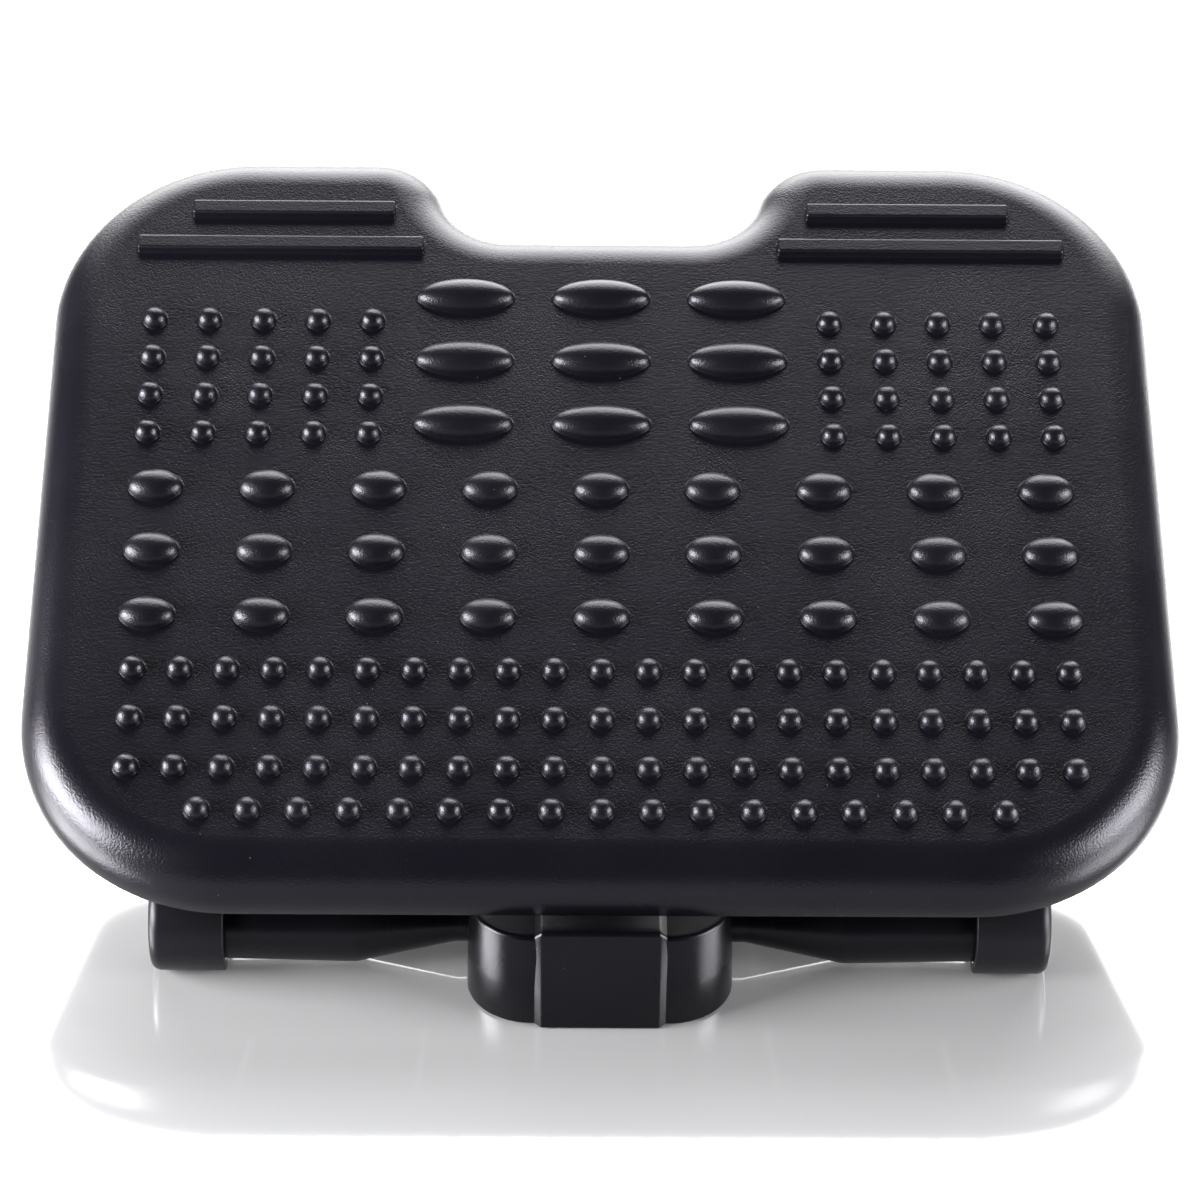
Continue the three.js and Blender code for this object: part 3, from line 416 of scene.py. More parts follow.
def band_faces(first, second):
    """Four-sided faces between two closed loops of vertex numbers of equal length."""
    first, second = np.asarray(first), np.asarray(second)
    return np.column_stack([first, np.roll(first, -1), np.roll(second, -1), second])


def stack_faces(rings, count, start=0):
    """Faces between each ring and the next, for rings of count points numbered from start."""
    loops = start + np.arange(rings * count).reshape(rings, count)
    return np.concatenate([band_faces(a, b) for a, b in zip(loops[:-1], loops[1:])])


def volume(points, faces):
    """The signed volume inside a closed shape: positive when its faces point outwards.

    It adds up, over triangles fanned in each face, one sixth of a . (b x c).
    """
    fans = [(f[0], b, c) for f in faces for b, c in zip(f[1:-1], f[2:])]
    a, b, c = np.asarray(points)[np.array(fans)].transpose(1, 0, 2)
    return (a * np.cross(b, c)).sum() / 6


def lofted(rings, closed=False):
    """Points and faces of a stack of rings, shape (rings, points, 3), facing outwards.

    The two ends get flat faces, or join each other where the stack is closed.
    """
    rings = np.asarray(rings, float)
    number, count = rings.shape[:2]
    faces = stack_faces(number, count).tolist()
    last = (number - 1) * count + np.arange(count)
    if closed:
        faces += band_faces(last, np.arange(count)).tolist()
    else:
        faces += [list(range(count))[::-1], last.tolist()]
    points = rings.reshape(-1, 3)
    if volume(points, faces) < 0:
        faces = [face[::-1] for face in faces]
    return points, faces


def joined(*shapes):
    """Several shapes as one, with the face numbers moved on."""
    points, faces, start = [], [], 0
    for shape_points, shape_faces in shapes:
        points.append(np.asarray(shape_points, float))
        faces += [[start + i for i in face] for face in shape_faces]
        start += len(shape_points)
    return np.concatenate(points), faces


def level_ring(outline, z):
    """A ring of an outline's (x, y) points at one height."""
    return np.column_stack([outline, np.full(len(outline), z)])


def axis_ring(radius, x, sides):
    """A ring about the X axis: y is r cos a and z is r sin a, with one r or one for each a."""
    angle = full_turn(sides)
    return np.column_stack([np.full(sides, x), radius * np.cos(angle), radius * np.sin(angle)])


def profile_rings(profile, sides):
    """The rings of a profile of (radius, x) points about the X axis."""
    return [axis_ring(radius, x, sides) for radius, x in profile]


def turned(profile, sides, closed=False):
    """A profile of (radius, x) points turned about the X axis."""
    return lofted(profile_rings(profile, sides), closed)


def rod(radius, low, high, sides=32):
    """A plain round rod along X, mostly as a tool for a hole."""
    return turned([(radius, low), (radius, high)], sides)


def tube(inner, outer, start, end, sides):
    """A plain round tube along X."""
    return turned([(inner, start), (outer, start), (outer, end), (inner, end)], sides, closed=True)


def rounded(profile, radii):
    """A profile whose corners are rounded: each corner becomes a short curve.

    The curve is a quadratic blend from a point one radius before the corner to one after it.
    """
    profile = np.array(profile, float)
    smooth = [profile[0]]
    share = np.linspace(0, 1, ROUNDED_STEPS + 1)[:, None]
    for before, corner, after, radius in zip(profile[:-2], profile[1:-1], profile[2:], radii):
        if radius == 0:
            smooth.append(corner)
            continue
        start = corner + radius * (before - corner) / np.linalg.norm(before - corner)
        end = corner + radius * (after - corner) / np.linalg.norm(after - corner)
        smooth += list((1 - share) ** 2 * start + 2 * share * (1 - share) * corner + share ** 2 * end)
    smooth.append(profile[-1])
    return np.array(smooth)


def edge_curve(radius, steps=4):
    """Insets and drops of a rounded edge, from its side up to its top: a quarter circle."""
    angle = np.linspace(0, QUARTER, steps + 1)
    return list(zip(radius * (1 - np.cos(angle)), radius * (1 - np.sin(angle))))


def slab(outline, low, high, edge, steps=3):
    """A flat slab from an outline function of inset, with its upper and lower edges rounded."""
    curve = edge_curve(edge, steps)
    levels = [(inset, low + drop) for inset, drop in curve[::-1]]
    levels += [(inset, high - drop) for inset, drop in curve]
    return lofted([level_ring(outline(inset), z) for inset, z in levels])


def both_sides(right):
    """A closed outline from its right half and the mirror image of that half."""
    return np.concatenate([right, right[::-1] * (-1, 1)])


def rounded_rectangle(half_x, half_y, radius, count=5):
    """A centred rectangle whose corners are arcs of count points, counterclockwise."""
    x, y = half_x - radius, half_y - radius
    return np.concatenate([
        arc(cx, cy, radius, radius, turn * QUARTER, (turn + 1) * QUARTER, count)
        for cx, cy, turn in ((x, -y, -1), (x, y, 0), (-x, y, 1), (-x, -y, 2))
    ])


def rounded_plate(half_x, half_y, radius):
    """The outline function of a slab that is a rounded rectangle."""
    return lambda inset: rounded_rectangle(half_x - inset, half_y - inset, radius - inset, 9)


def moved(shape, x=0.0, y=0.0, z=0.0):
    """A shape moved along the axes."""
    return shape[0] + (x, y, z), shape[1]


def mirrored(shape):
    """A shape on the other side of X = 0, its faces turned so that they still face outwards."""
    return shape[0] * (-1, 1, 1), [face[::-1] for face in shape[1]]


def upright(shape, places, z=0.0):
    """Copies of a shape that was turned about X, its X axis up, at (x, y) places."""
    return [(shape[0][:, [1, 2, 0]] + (x, y, z), shape[1]) for x, y in places]


def piece(name, node, shape, body, slot):
    """Makes a smooth mesh object of a shape, which rides on a body and replaces a CAD node."""
    mesh = plain_mesh(name, shape)
    mesh.validate()
    mesh.shade_smooth()
    mesh.set_sharp_from_angle(angle=SMOOTH_ANGLE)
    mesh.materials.append(FINISHES[slot])
    made = add_object(name, mesh)
    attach(made, body)
    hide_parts(node)
    print("  ", name, len(mesh.polygons), "faces")
    return made


print("helpers: rings, turned and moved shapes, pieces")

# %% [markdown]
# ## The platform
#
# The platform is one thick moulding: a flat plate whose edge rolls over into a skirt, with a
# notch in the far edge for lifting. The edge is a loft of the same outline, drawn further
# and further in. The flat top is triangulated around the foot of every bump, so bumps and
# plate share their vertices and light runs over them as over one skin.

# %% Platform sizes and outline
PLATFORM_WIDTH, PLATFORM_DEPTH = 0.4508, 0.3546
PIVOT_FROM_NEAR_EDGE, PIVOT_BELOW_TOP = 0.1634, 0.038
REST_TILT = np.radians(23.55)
LIP_RADIUS, SKIRT_DEPTH, WALL = 0.020, 0.024, 0.003
NEAR_CORNER_RADIUS, FAR_CORNER_RADIUS = 0.0836, 0.0812
NOTCH_DEPTH, NOTCH_FLOOR_WIDTH, NOTCH_MOUTH_WIDTH = 0.041, 0.0757, 0.1864
CORNER_POINTS, NOTCH_POINTS = 25, 14

notch_run = (NOTCH_MOUTH_WIDTH - NOTCH_FLOOR_WIDTH) / 2
notch_turn = 2 * np.arctan(NOTCH_DEPTH / notch_run)
notch_radius = notch_run / (2 * np.sin(notch_turn))


def platform_outline(inset):
    """The outline drawn inset from its edge: two corner arcs and two notch arcs a side."""
    near, far = NEAR_CORNER_RADIUS - inset, FAR_CORNER_RADIUS - inset
    near_x, far_x = PLATFORM_WIDTH / 2 - NEAR_CORNER_RADIUS, PLATFORM_WIDTH / 2 - FAR_CORNER_RADIUS
    far_y, lobe_y = PLATFORM_DEPTH - FAR_CORNER_RADIUS, PLATFORM_DEPTH - notch_radius
    floor_x, floor_y = NOTCH_FLOOR_WIDTH / 2, PLATFORM_DEPTH - NOTCH_DEPTH + notch_radius
    lobe, hollow = notch_radius - inset, notch_radius + inset
    return both_sides(np.concatenate([
        arc(near_x, NEAR_CORNER_RADIUS, near, near, -QUARTER, 0, CORNER_POINTS),
        arc(far_x, far_y, far, far, 0, QUARTER, CORNER_POINTS),
        arc(NOTCH_MOUTH_WIDTH / 2, lobe_y, lobe, lobe, QUARTER, QUARTER + notch_turn, NOTCH_POINTS),
        arc(floor_x, floor_y, hollow, hollow, notch_turn - QUARTER, -QUARTER, NOTCH_POINTS)[1:],
    ]))


def tilted(shape):
    """Turns a shape drawn about the pivot by the rest tilt t, and lifts it to the pivot.

    World Y is y cos t - z sin t, and world Z is y sin t + z cos t plus the pivot's height.
    """
    x, y, z = shape[0].T
    cosine, sine = np.cos(REST_TILT), np.sin(REST_TILT)
    return np.column_stack([x, y * cosine - z * sine, y * sine + z * cosine + PIVOT_HEIGHT]), shape[1]


print("platform outline:", len(platform_outline(0)), "points")

# %% Lip and skirt
LIP_STEPS, INNER_LIP_STEPS, RIM_STEPS = 14, 8, 3
RIM_RADIUS = 0.0008


def edge_ring(inset, z):
    """One ring of the platform's edge: the outline at an inset, at a height from the top."""
    return level_ring(platform_outline(inset), z)


def lip_rings(depth, steps):
    """Rings of a quarter round that lies a depth below the outer one, from the flat down."""
    curve = edge_curve(LIP_RADIUS - depth, steps)[::-1]
    return [edge_ring(depth + inset, -depth - drop) for inset, drop in curve]


rim = edge_curve(RIM_RADIUS, RIM_STEPS)
edge_rings = [
    edge_ring(LIP_RADIUS + HOLD, 0.0),
    *lip_rings(0.0, LIP_STEPS),
    *[edge_ring(inset, drop - SKIRT_DEPTH) for inset, drop in rim],
    *[edge_ring(WALL - inset, drop - SKIRT_DEPTH) for inset, drop in rim[::-1]],
    *lip_rings(WALL, INNER_LIP_STEPS)[::-1],
    edge_ring(LIP_RADIUS + HOLD, -WALL),
]
print("platform edge:", len(edge_rings), "rings of", len(edge_rings[0]), "points")

# %% [markdown]
# ### Bumps and toe bars
#
# There are three kinds of bump: small domes, ovals and long ovals. Each is half of an
# ellipsoid: from its foot to its top, an angle a grows to a quarter turn, the half sizes
# shrink as cos a and the height grows as sin a. A small fillet joins each to the plate.

# %% Bump rings
FILLET = 0.0006
DOME = dict(width=0.0098, depth=0.0098, height=0.0053, sides=20, rings=7)
OVAL = dict(width=0.0217, depth=0.0144, height=0.0062, sides=32, rings=8)
LONG_OVAL = dict(width=0.0398, depth=0.0158, height=0.0071, sides=44, rings=9)
SIDE_INNER_X, SIDE_PITCH_X = 0.0933, 0.02217

bend = np.linspace(0, QUARTER, 3)
foot_reach = [HOLD / 2 + FILLET, *(FILLET * (1 - np.sin(bend)))]
foot_rise = [0.0, *(FILLET * (1 - np.cos(bend)))]


def bump_rings(width, depth, height, sides, rings):
    """Rings of one bump about its own centre, from a hold on the plate to near its top."""
    turn = full_turn(sides)
    around = np.column_stack([np.cos(turn), np.sin(turn)])
    half = np.array([width, depth]) / 2
    angle = np.linspace(0, QUARTER, rings + 2)[1:-1]
    rise = FILLET + (height - FILLET) * np.sin(angle)
    foot = [level_ring(around * (half + reach), z) for reach, z in zip(foot_reach, foot_rise)]
    crown = [level_ring(around * half * share, z) for share, z in zip(np.cos(angle), rise)]
    return np.array(foot + crown)


def block(columns, rows, pitch_x, pitch_y, centre_x, first_y):
    """Centres of a block of bumps: columns about a centre, rows from the first one on."""
    x = centre_x + (np.arange(columns) - (columns - 1) / 2) * pitch_x
    y = first_y + np.arange(rows) * pitch_y
    return [(a, b) for b in y for a in x]


side_centre = SIDE_INNER_X + 2 * SIDE_PITCH_X
# Each block has columns, rows, their pitches, its centre in X and its first row's Y.
fields = [
    (DOME, block(17, 1, 0.01917, 0, 0, 0.0319)),
    (DOME, block(21, 3, 0.01813, 0.02207, 0, 0.0506)),
    (DOME, block(5, 4, SIDE_PITCH_X, 0.0188, side_centre, 0.2068)),
    (DOME, block(5, 4, SIDE_PITCH_X, 0.0188, -side_centre, 0.2068)),
    (OVAL, block(9, 3, 0.0443, 0.03025, 0, 0.1198)),
    (LONG_OVAL, block(3, 3, 0.0555, 0.03172, 0, 0.212)),
]
print("bumps:", sum(len(centres) for _, centres in fields))

# %% Toe bars
BAR_WIDTH, BAR_HEIGHT, BAR_EDGE, BAR_CORNER = 0.0068, 0.0038, 0.0009, 0.0011
LOWER_BAR = dict(inner_x=0.0731, from_side=0.0343, from_far_edge=0.0567)
UPPER_BAR = dict(inner_x=0.0853, from_side=0.0562, from_far_edge=0.0382)


def bar_rings(inner_x, from_side, from_far_edge, mirror):
    """Rings of one toe bar, from a hold on the plate over a rounded top edge to its flat."""
    half, half_width = (PLATFORM_WIDTH / 2 - from_side - inner_x) / 2, BAR_WIDTH / 2
    centre = (mirror * (inner_x + half), PLATFORM_DEPTH - from_far_edge + half_width)
    edge = np.linspace(0, QUARTER, 5)
    grow = [*foot_reach, *(-BAR_EDGE * (1 - np.cos(edge)))]
    rise = [*foot_rise, *(BAR_HEIGHT - BAR_EDGE * (1 - np.sin(edge)))]
    grow.append(grow[-1] - HOLD / 2)
    rise.append(rise[-1])
    return np.array([
        level_ring(rounded_rectangle(half + more, half_width + more, BAR_CORNER + more) + centre, z)
        for more, z in zip(grow, rise)
    ])


bars = [bar_rings(**size, mirror=m) for size in (LOWER_BAR, UPPER_BAR) for m in (1, -1)]
print("toe bars:", len(bars), "of", len(bars[0]), "rings")

# %% One skin for plate, bumps and bars
SOFT_FROM_RING = 3
UNDERSIDE_SOFTNESS = 9.0
CLOSE = 1e-7


def flat_faces(points, outline, holes):
    """Triangles of the flat inside an outline and outside the holes, as vertex numbers."""
    numbers = np.concatenate([outline, *holes])
    flat = [Vector(p[:2]) for p in points[numbers]]
    edges, owner, start = [], np.full(len(numbers), -1), 0
    for hole, loop in enumerate([outline, *holes], start=-1):
        steps = np.arange(len(loop))
        edges += np.column_stack([start + steps, start + np.roll(steps, -1)]).tolist()
        owner[start:start + len(loop)] = hole
        start += len(loop)
    _, _, triangles, origins, _, _ = delaunay_2d_cdt(flat, edges, [], 1, CLOSE)
    kept = []
    for triangle in triangles:
        three = [origins[i][0] for i in triangle]
        owners = set(owner[three])
        if len(owners) > 1 or -1 in owners:
            kept.append([int(numbers[i]) for i in three])
    return kept


def platform_skin():
    """The shell as a shape, and its softness, with the flats triangulated between loops."""
    edge = np.array(edge_rings)
    number, count = edge.shape[:2]
    below = np.arange(number) > 1 + LIP_STEPS + RIM_STEPS
    points, softness = [edge.reshape(-1, 3)], [np.repeat(below * UNDERSIDE_SOFTNESS, count)]
    faces = stack_faces(number, count)[:, ::-1].tolist()
    start = number * count
    feet, tops = [], []
    stacks = [
        (bump_rings(**kind) + (*centre, 0), (*centre, kind["height"]))
        for kind, centres in fields for centre in centres
    ]
    for rings, peak in stacks + [(rings, None) for rings in bars]:
        rows, sides = rings.shape[:2]
        points.append(rings.reshape(-1, 3))
        softness.append(np.repeat(np.arange(rows) >= SOFT_FROM_RING, sides))
        faces += stack_faces(rows, sides, start).tolist()
        feet.append(start + np.arange(sides))
        start += rows * sides
        last = start - sides + np.arange(sides)
        if peak is None:
            tops.append(last.tolist())
            continue
        points.append([peak])
        softness.append([1])
        faces += np.column_stack([last, np.roll(last, -1), np.full(sides, start)]).tolist()
        start += 1
    points, softness = np.concatenate(points), np.concatenate(softness).astype(float)
    outer, under = np.arange(count), (number - 1) * count + np.arange(count)
    faces += tops + flat_faces(points, outer, feet)
    faces += [face[::-1] for face in flat_faces(points, under, [])]
    return (points, faces), softness


skin, softness = platform_skin()
print("skin:", len(skin[0]), "points")

# %% [markdown]
# ### Ribs and bosses underneath
#
# Underneath, crossing ribs keep the plate stiff, as on every large moulding. A rib is a thin
# strip whose top edge hides inside the plate and follows the lip's curve down at both ends,
# so its height depends only on how far each point lies from the outline.

# %% Ribs and bosses
RIB_DEPTH, RIB_THICKNESS, RIB_EDGE, RIB_NARROWING = 0.012, 0.0024, 0.0005, 0.8
RIB_PITCH_X, RIB_PITCH_Y = 0.072, 0.058
RIB_SAMPLES, RIB_POINTS = 451, 60
BOSS_RADIUS, BOSS_X, BOSS_Y = 0.0055, 0.040, 0.034

mid_radius = LIP_RADIUS - WALL / 2
rib_low = -WALL - RIB_DEPTH
rib_end = LIP_RADIUS - np.sqrt(mid_radius ** 2 - (LIP_RADIUS + rib_low) ** 2)


def outline_distance(points):
    """The shortest distance from each point to the straight pieces of the outline."""
    start = platform_outline(0)
    step = np.roll(start, -1, axis=0) - start
    along = ((points[:, None] - start) * step).sum(-1) / (step ** 2).sum(-1)
    nearest = start + np.clip(along, 0, 1)[..., None] * step
    return np.linalg.norm(points[:, None] - nearest, axis=-1).min(1)


def rib(start, end):
    """One rib along a line, from one wall to the other, with a slightly narrower low edge.

    Its top is the middle of the wall: a quarter circle near the outline, then level.
    """
    start, end = np.array(start), np.array(end)
    share = np.linspace(0, 1, RIB_SAMPLES)
    inset = outline_distance(start + share[:, None] * (end - start))
    outside = np.flatnonzero(inset < rib_end)
    middle = len(share) // 2
    low, high = outside[outside < middle].max(), outside[outside > middle].min()
    first = np.interp(rib_end, inset[low:low + 2], share[low:low + 2])
    last = np.interp(rib_end, inset[high:high - 2:-1], share[high:high - 2:-1])
    even = (1 - np.cos(np.linspace(0, np.pi, RIB_POINTS))) / 2
    line = start + (first + (last - first) * even)[:, None] * (end - start)
    inset = np.minimum(outline_distance(line), LIP_RADIUS)
    top = -LIP_RADIUS + np.sqrt(mid_radius ** 2 - (LIP_RADIUS - inset) ** 2)
    direction = (end - start) / np.linalg.norm(end - start)
    sideways = np.array([-direction[1], direction[0]])
    half, narrow = RIB_THICKNESS / 2, RIB_THICKNESS / 2 * RIB_NARROWING
    reach = np.array([half, narrow, narrow - RIB_EDGE, RIB_EDGE - narrow, -narrow, -half])
    lows = [np.full(len(top), rib_low + lift) for lift in (RIB_EDGE, 0, 0, RIB_EDGE)]
    flat = line[:, None] + reach[None, :, None] * sideways
    return lofted(np.concatenate([flat, np.stack([top, *lows, top], axis=1)[..., None]], axis=-1))


ribs = [rib((i * RIB_PITCH_X, 0), (i * RIB_PITCH_X, PLATFORM_DEPTH)) for i in range(-2, 3)]
ribs += [
    rib((-PLATFORM_WIDTH / 2, y), (PLATFORM_WIDTH / 2, y))
    for y in PIVOT_FROM_NEAR_EDGE + np.arange(-2, 3) * RIB_PITCH_Y
]
boss = turned([
    (BOSS_RADIUS - CHAMFER, rib_low), (BOSS_RADIUS, rib_low + CHAMFER), (BOSS_RADIUS, -WALL / 2),
], 32)
boss_places = [(x, PIVOT_FROM_NEAR_EDGE + y) for x in (-BOSS_X, BOSS_X) for y in (-BOSS_Y, BOSS_Y)]
bosses = upright(boss, boss_places)
underside = joined(*ribs, *bosses)
print("underside:", len(ribs), "ribs and", len(bosses), "bosses")

# %% Platform piece
about_pivot = moved(joined(skin, underside), y=-PIVOT_FROM_NEAR_EDGE, z=PIVOT_BELOW_TOP)
platform = piece("platform_shell", "platform", tilted(about_pivot), "platform", "platform_plastic")
softness = np.append(softness, np.full(len(underside[0]), UNDERSIDE_SOFTNESS))
layer = platform.data.attributes.new("softness", "FLOAT", "POINT")
layer.data.foreach_set("value", softness.astype(np.float32))

# %% [markdown]
# ## The base housing
#
# The base is a long tub that lies upside down: two pods joined by a waist, and a raised band
# that runs over the nose, the top and the tail. Its walls lean in with height, a little up
# to a crease and more above it. That draft, which lets the moulding leave its tool, is what
# catches the light on the pod's corners, so it is kept exactly.

# %% Housing outline and draft
HOUSING_HALF_LENGTH, HOUSING_HALF_WIDTH, HOUSING_HEIGHT = 0.1664, 0.0513, 0.0395
HOUSING_RIM, HOUSING_CREASE, HOUSING_EDGE = 0.0006, 0.0179, 0.0016
CORNER_WIDTH, CORNER_DEPTH = 0.0249, 0.0255
POD_LENGTH, SPINE_HALF_WIDTH, SPINE_BLEND = 0.076, 0.040, 0.020
POD_POINTS, BLEND_POINTS = 15, 8
LOWER_DRAFT, UPPER_DRAFT, END_DRAFT = np.tan(np.radians([1.0, 4.0, 7.5]))

spine_turn = np.arccos(1 - (HOUSING_HALF_WIDTH - SPINE_HALF_WIDTH) / (2 * SPINE_BLEND))
pod_end_y = HOUSING_HALF_LENGTH - POD_LENGTH
spine_start_y = pod_end_y - 2 * SPINE_BLEND * np.sin(spine_turn)


def housing_outline(inset, end_inset):
    """The tub's outline, drawn in by one amount at the sides and another at the two ends."""
    corner_x, corner_y = HOUSING_HALF_WIDTH - CORNER_WIDTH, HOUSING_HALF_LENGTH - CORNER_DEPTH
    outer_x, inner_x = HOUSING_HALF_WIDTH - SPINE_BLEND, SPINE_HALF_WIDTH + SPINE_BLEND
    outer, inner = SPINE_BLEND - inset, SPINE_BLEND + inset
    wide, deep = CORNER_WIDTH - inset, CORNER_DEPTH - end_inset
    quarter = np.concatenate([
        arc(corner_x, -corner_y, wide, deep, -QUARTER, 0, POD_POINTS),
        arc(outer_x, -pod_end_y, outer, outer, 0, spine_turn, BLEND_POINTS),
        arc(inner_x, -spine_start_y, inner, inner, np.pi + spine_turn, np.pi, BLEND_POINTS)[1:],
    ])
    return both_sides(np.concatenate([quarter, quarter[::-1] * (1, -1)]))


def draft(z, upper):
    """How far a wall has come in at a height: the lower slope to the crease, then the upper."""
    return np.minimum(z, HOUSING_CREASE) * LOWER_DRAFT + np.maximum(z - HOUSING_CREASE, 0) * upper


def housing_ring(z, inset=0.0):
    """One ring of the tub at a height, drawn in by its draft and by a further inset."""
    return level_ring(housing_outline(inset + draft(z, UPPER_DRAFT), inset + draft(z, END_DRAFT)), z)


print("housing outline:", len(housing_outline(0, 0)), "points")

# %% Tub, band and seat
HOUSING_WALL, FOOT_EDGE, CREASE_SOFTNESS = 0.003, 0.0005, 0.0005
BAND_HALF_WIDTH, BAND_ROOT_HALF_WIDTH, BAND_RISE = 0.0225, 0.0261, 0.0025
BAND_EDGE, BAND_ROUND = 0.0005, (0.3, 0.2)
SEAT_HALF_WIDTH, SEAT_HALF_LENGTH, SEAT_CORNER, SEAT_EDGE = 0.034, 0.050, 0.010, 0.0008

ceiling = HOUSING_HEIGHT - HOUSING_WALL
band_top = HOUSING_HEIGHT + BAND_RISE
tub = lofted([
    housing_ring(ceiling, HOUSING_WALL),
    housing_ring(HOUSING_CREASE, HOUSING_WALL),
    housing_ring(HOUSING_RIM, HOUSING_WALL),
    *[housing_ring(HOUSING_RIM + drop, inset) for inset, drop in edge_curve(FOOT_EDGE, 2)[::-1]],
    housing_ring(HOUSING_CREASE - CREASE_SOFTNESS),
    housing_ring(HOUSING_CREASE + CREASE_SOFTNESS),
    *[housing_ring(HOUSING_HEIGHT - drop, inset) for inset, drop in edge_curve(HOUSING_EDGE)],
    housing_ring(HOUSING_HEIGHT, HOUSING_EDGE + HOLD),
])


def band_path(rise):
    """The band's line over the nose, the top and the tail, at a rise above the tub's own."""
    front, top = HOUSING_HALF_LENGTH + rise, HOUSING_HEIGHT + rise
    drawn = front - draft(top, END_DRAFT) - rise / 2
    foot = (front, HOUSING_RIM)
    crease = (front - draft(HOUSING_CREASE, END_DRAFT), HOUSING_CREASE)
    edge = [(drawn - inset, top - drop) for inset, drop in edge_curve(HOUSING_EDGE)]
    half = np.array([foot, crease, *edge, (drawn - HOUSING_EDGE - HOLD, top)])
    return np.concatenate([half * (-1, 1), half[::-1]])


def band_shape():
    """The band as a belt: the same path at several rises, from its root over its flat top."""
    slope = (BAND_ROOT_HALF_WIDTH - BAND_HALF_WIDTH) / (BAND_RISE + OVERLAP)
    section = [
        (BAND_ROOT_HALF_WIDTH, -OVERLAP),
        (BAND_HALF_WIDTH + slope * BAND_EDGE, BAND_RISE - BAND_EDGE),
        (BAND_HALF_WIDTH - BAND_EDGE * BAND_ROUND[0], BAND_RISE - BAND_EDGE * BAND_ROUND[1]),
        (BAND_HALF_WIDTH - BAND_EDGE, BAND_RISE),
    ]
    section += [(-x, rise) for x, rise in section[::-1]]
    lines = [np.insert(band_path(rise), 0, x, axis=1) for x, rise in section]
    return lofted(np.array(lines).transpose(1, 0, 2))


band = band_shape()
seat_outline = rounded_plate(SEAT_HALF_WIDTH, SEAT_HALF_LENGTH, SEAT_CORNER)
seat = slab(seat_outline, ceiling + OVERLAP, band_top, SEAT_EDGE)
print("tub:", len(tub[0]), "points; band:", len(band[0]), "points")

# %% Sockets, and the ways through the wall
ARM_LINE_Y, ARM_INNER_X = HOUSING_HALF_LENGTH - 0.0402, HOUSING_HALF_WIDTH - 0.0293
CAP_RADIUS, CAP_FLAT = 0.0199, 0.0005
NECK_RADIUS, SOCKET_RADIUS, FIT_GAP = 0.0082, 0.012, 0.0003
WAY_INSIDE, WAY_OUTSIDE = 0.006, 0.002
END_NAMES, SIDE_NAMES = {-1: "front", 1: "rear"}, {-1: "left", 1: "right"}
ARMS = {(x, y): END_NAMES[y] + "_" + SIDE_NAMES[x] for y in (-1, 1) for x in (-1, 1)}

arm_height = CAP_RADIUS - CAP_FLAT
bore, wall_x = NECK_RADIUS + FIT_GAP, HOUSING_HALF_WIDTH - HOUSING_WALL
socket = tube(bore, SOCKET_RADIUS, ARM_INNER_X, wall_x, 48)
way = rod(bore, HOUSING_HALF_WIDTH - WAY_INSIDE, HOUSING_HALF_WIDTH + WAY_OUTSIDE, 48)


def at_arm(shape, x_side, y_side):
    """Moves a shape made on the X axis to one of the four arms, mirrored for the left side."""
    return moved(shape if x_side > 0 else mirrored(shape), y=y_side * ARM_LINE_Y, z=arm_height)


def cut(shape, tools):
    """A shape with holes: an exact Boolean difference by the tools, read back as arrays."""
    blank = add_object("blank", plain_mesh("blank", shape))
    tool = add_object("tool", plain_mesh("tool", joined(*tools)))
    boolean = blank.modifiers.new("cut", "BOOLEAN")
    boolean.object, boolean.operation, boolean.solver = tool, "DIFFERENCE", "EXACT"
    result = blank.evaluated_get(bpy.context.evaluated_depsgraph_get()).to_mesh()
    points = np.empty(3 * len(result.vertices))
    result.vertices.foreach_get("co", points)
    faces = [list(face.vertices) for face in result.polygons]
    blank.to_mesh_clear()
    for made in (blank, tool):
        bpy.data.objects.remove(made)
    return points.reshape(-1, 3), faces


pierced_tub = cut(tub, [at_arm(way, x, y) for x, y in ARMS])
sockets = [at_arm(socket, x, y) for x, y in ARMS]
print("sockets:", *ARMS.values())

# %% Screw posts, pads and the housing piece
RUNNING_GAP, SCREW_RADIUS, ARM_SCREW_RADIUS = 0.00015, 0.002, 0.0024
PLATE_LOW, PLATE_TOP, PLATE_SCREW_LENGTH = 0.002, 0.0045, 0.014
POST_RADIUS, POST_EDGE, NEAR_AXIS, SCREW_PAD_RADIUS = 0.0046, 0.0003, 0.0002, 0.0052
POST_X, POST_Y, SPINE_POST_Y = HOUSING_HALF_WIDTH - 0.0213, HOUSING_HALF_LENGTH - 0.0184, 0.062
SEAT_SCREW_X, SEAT_SCREW_Y = 0.017, 0.0405
ARM_SCREW_X = HOUSING_HALF_WIDTH - 0.0143


def corners(x, y):
    """Four places, one in each quarter seen from above."""
    return [(a * x, b * y) for b in (-1, 1) for a in (-1, 1)]


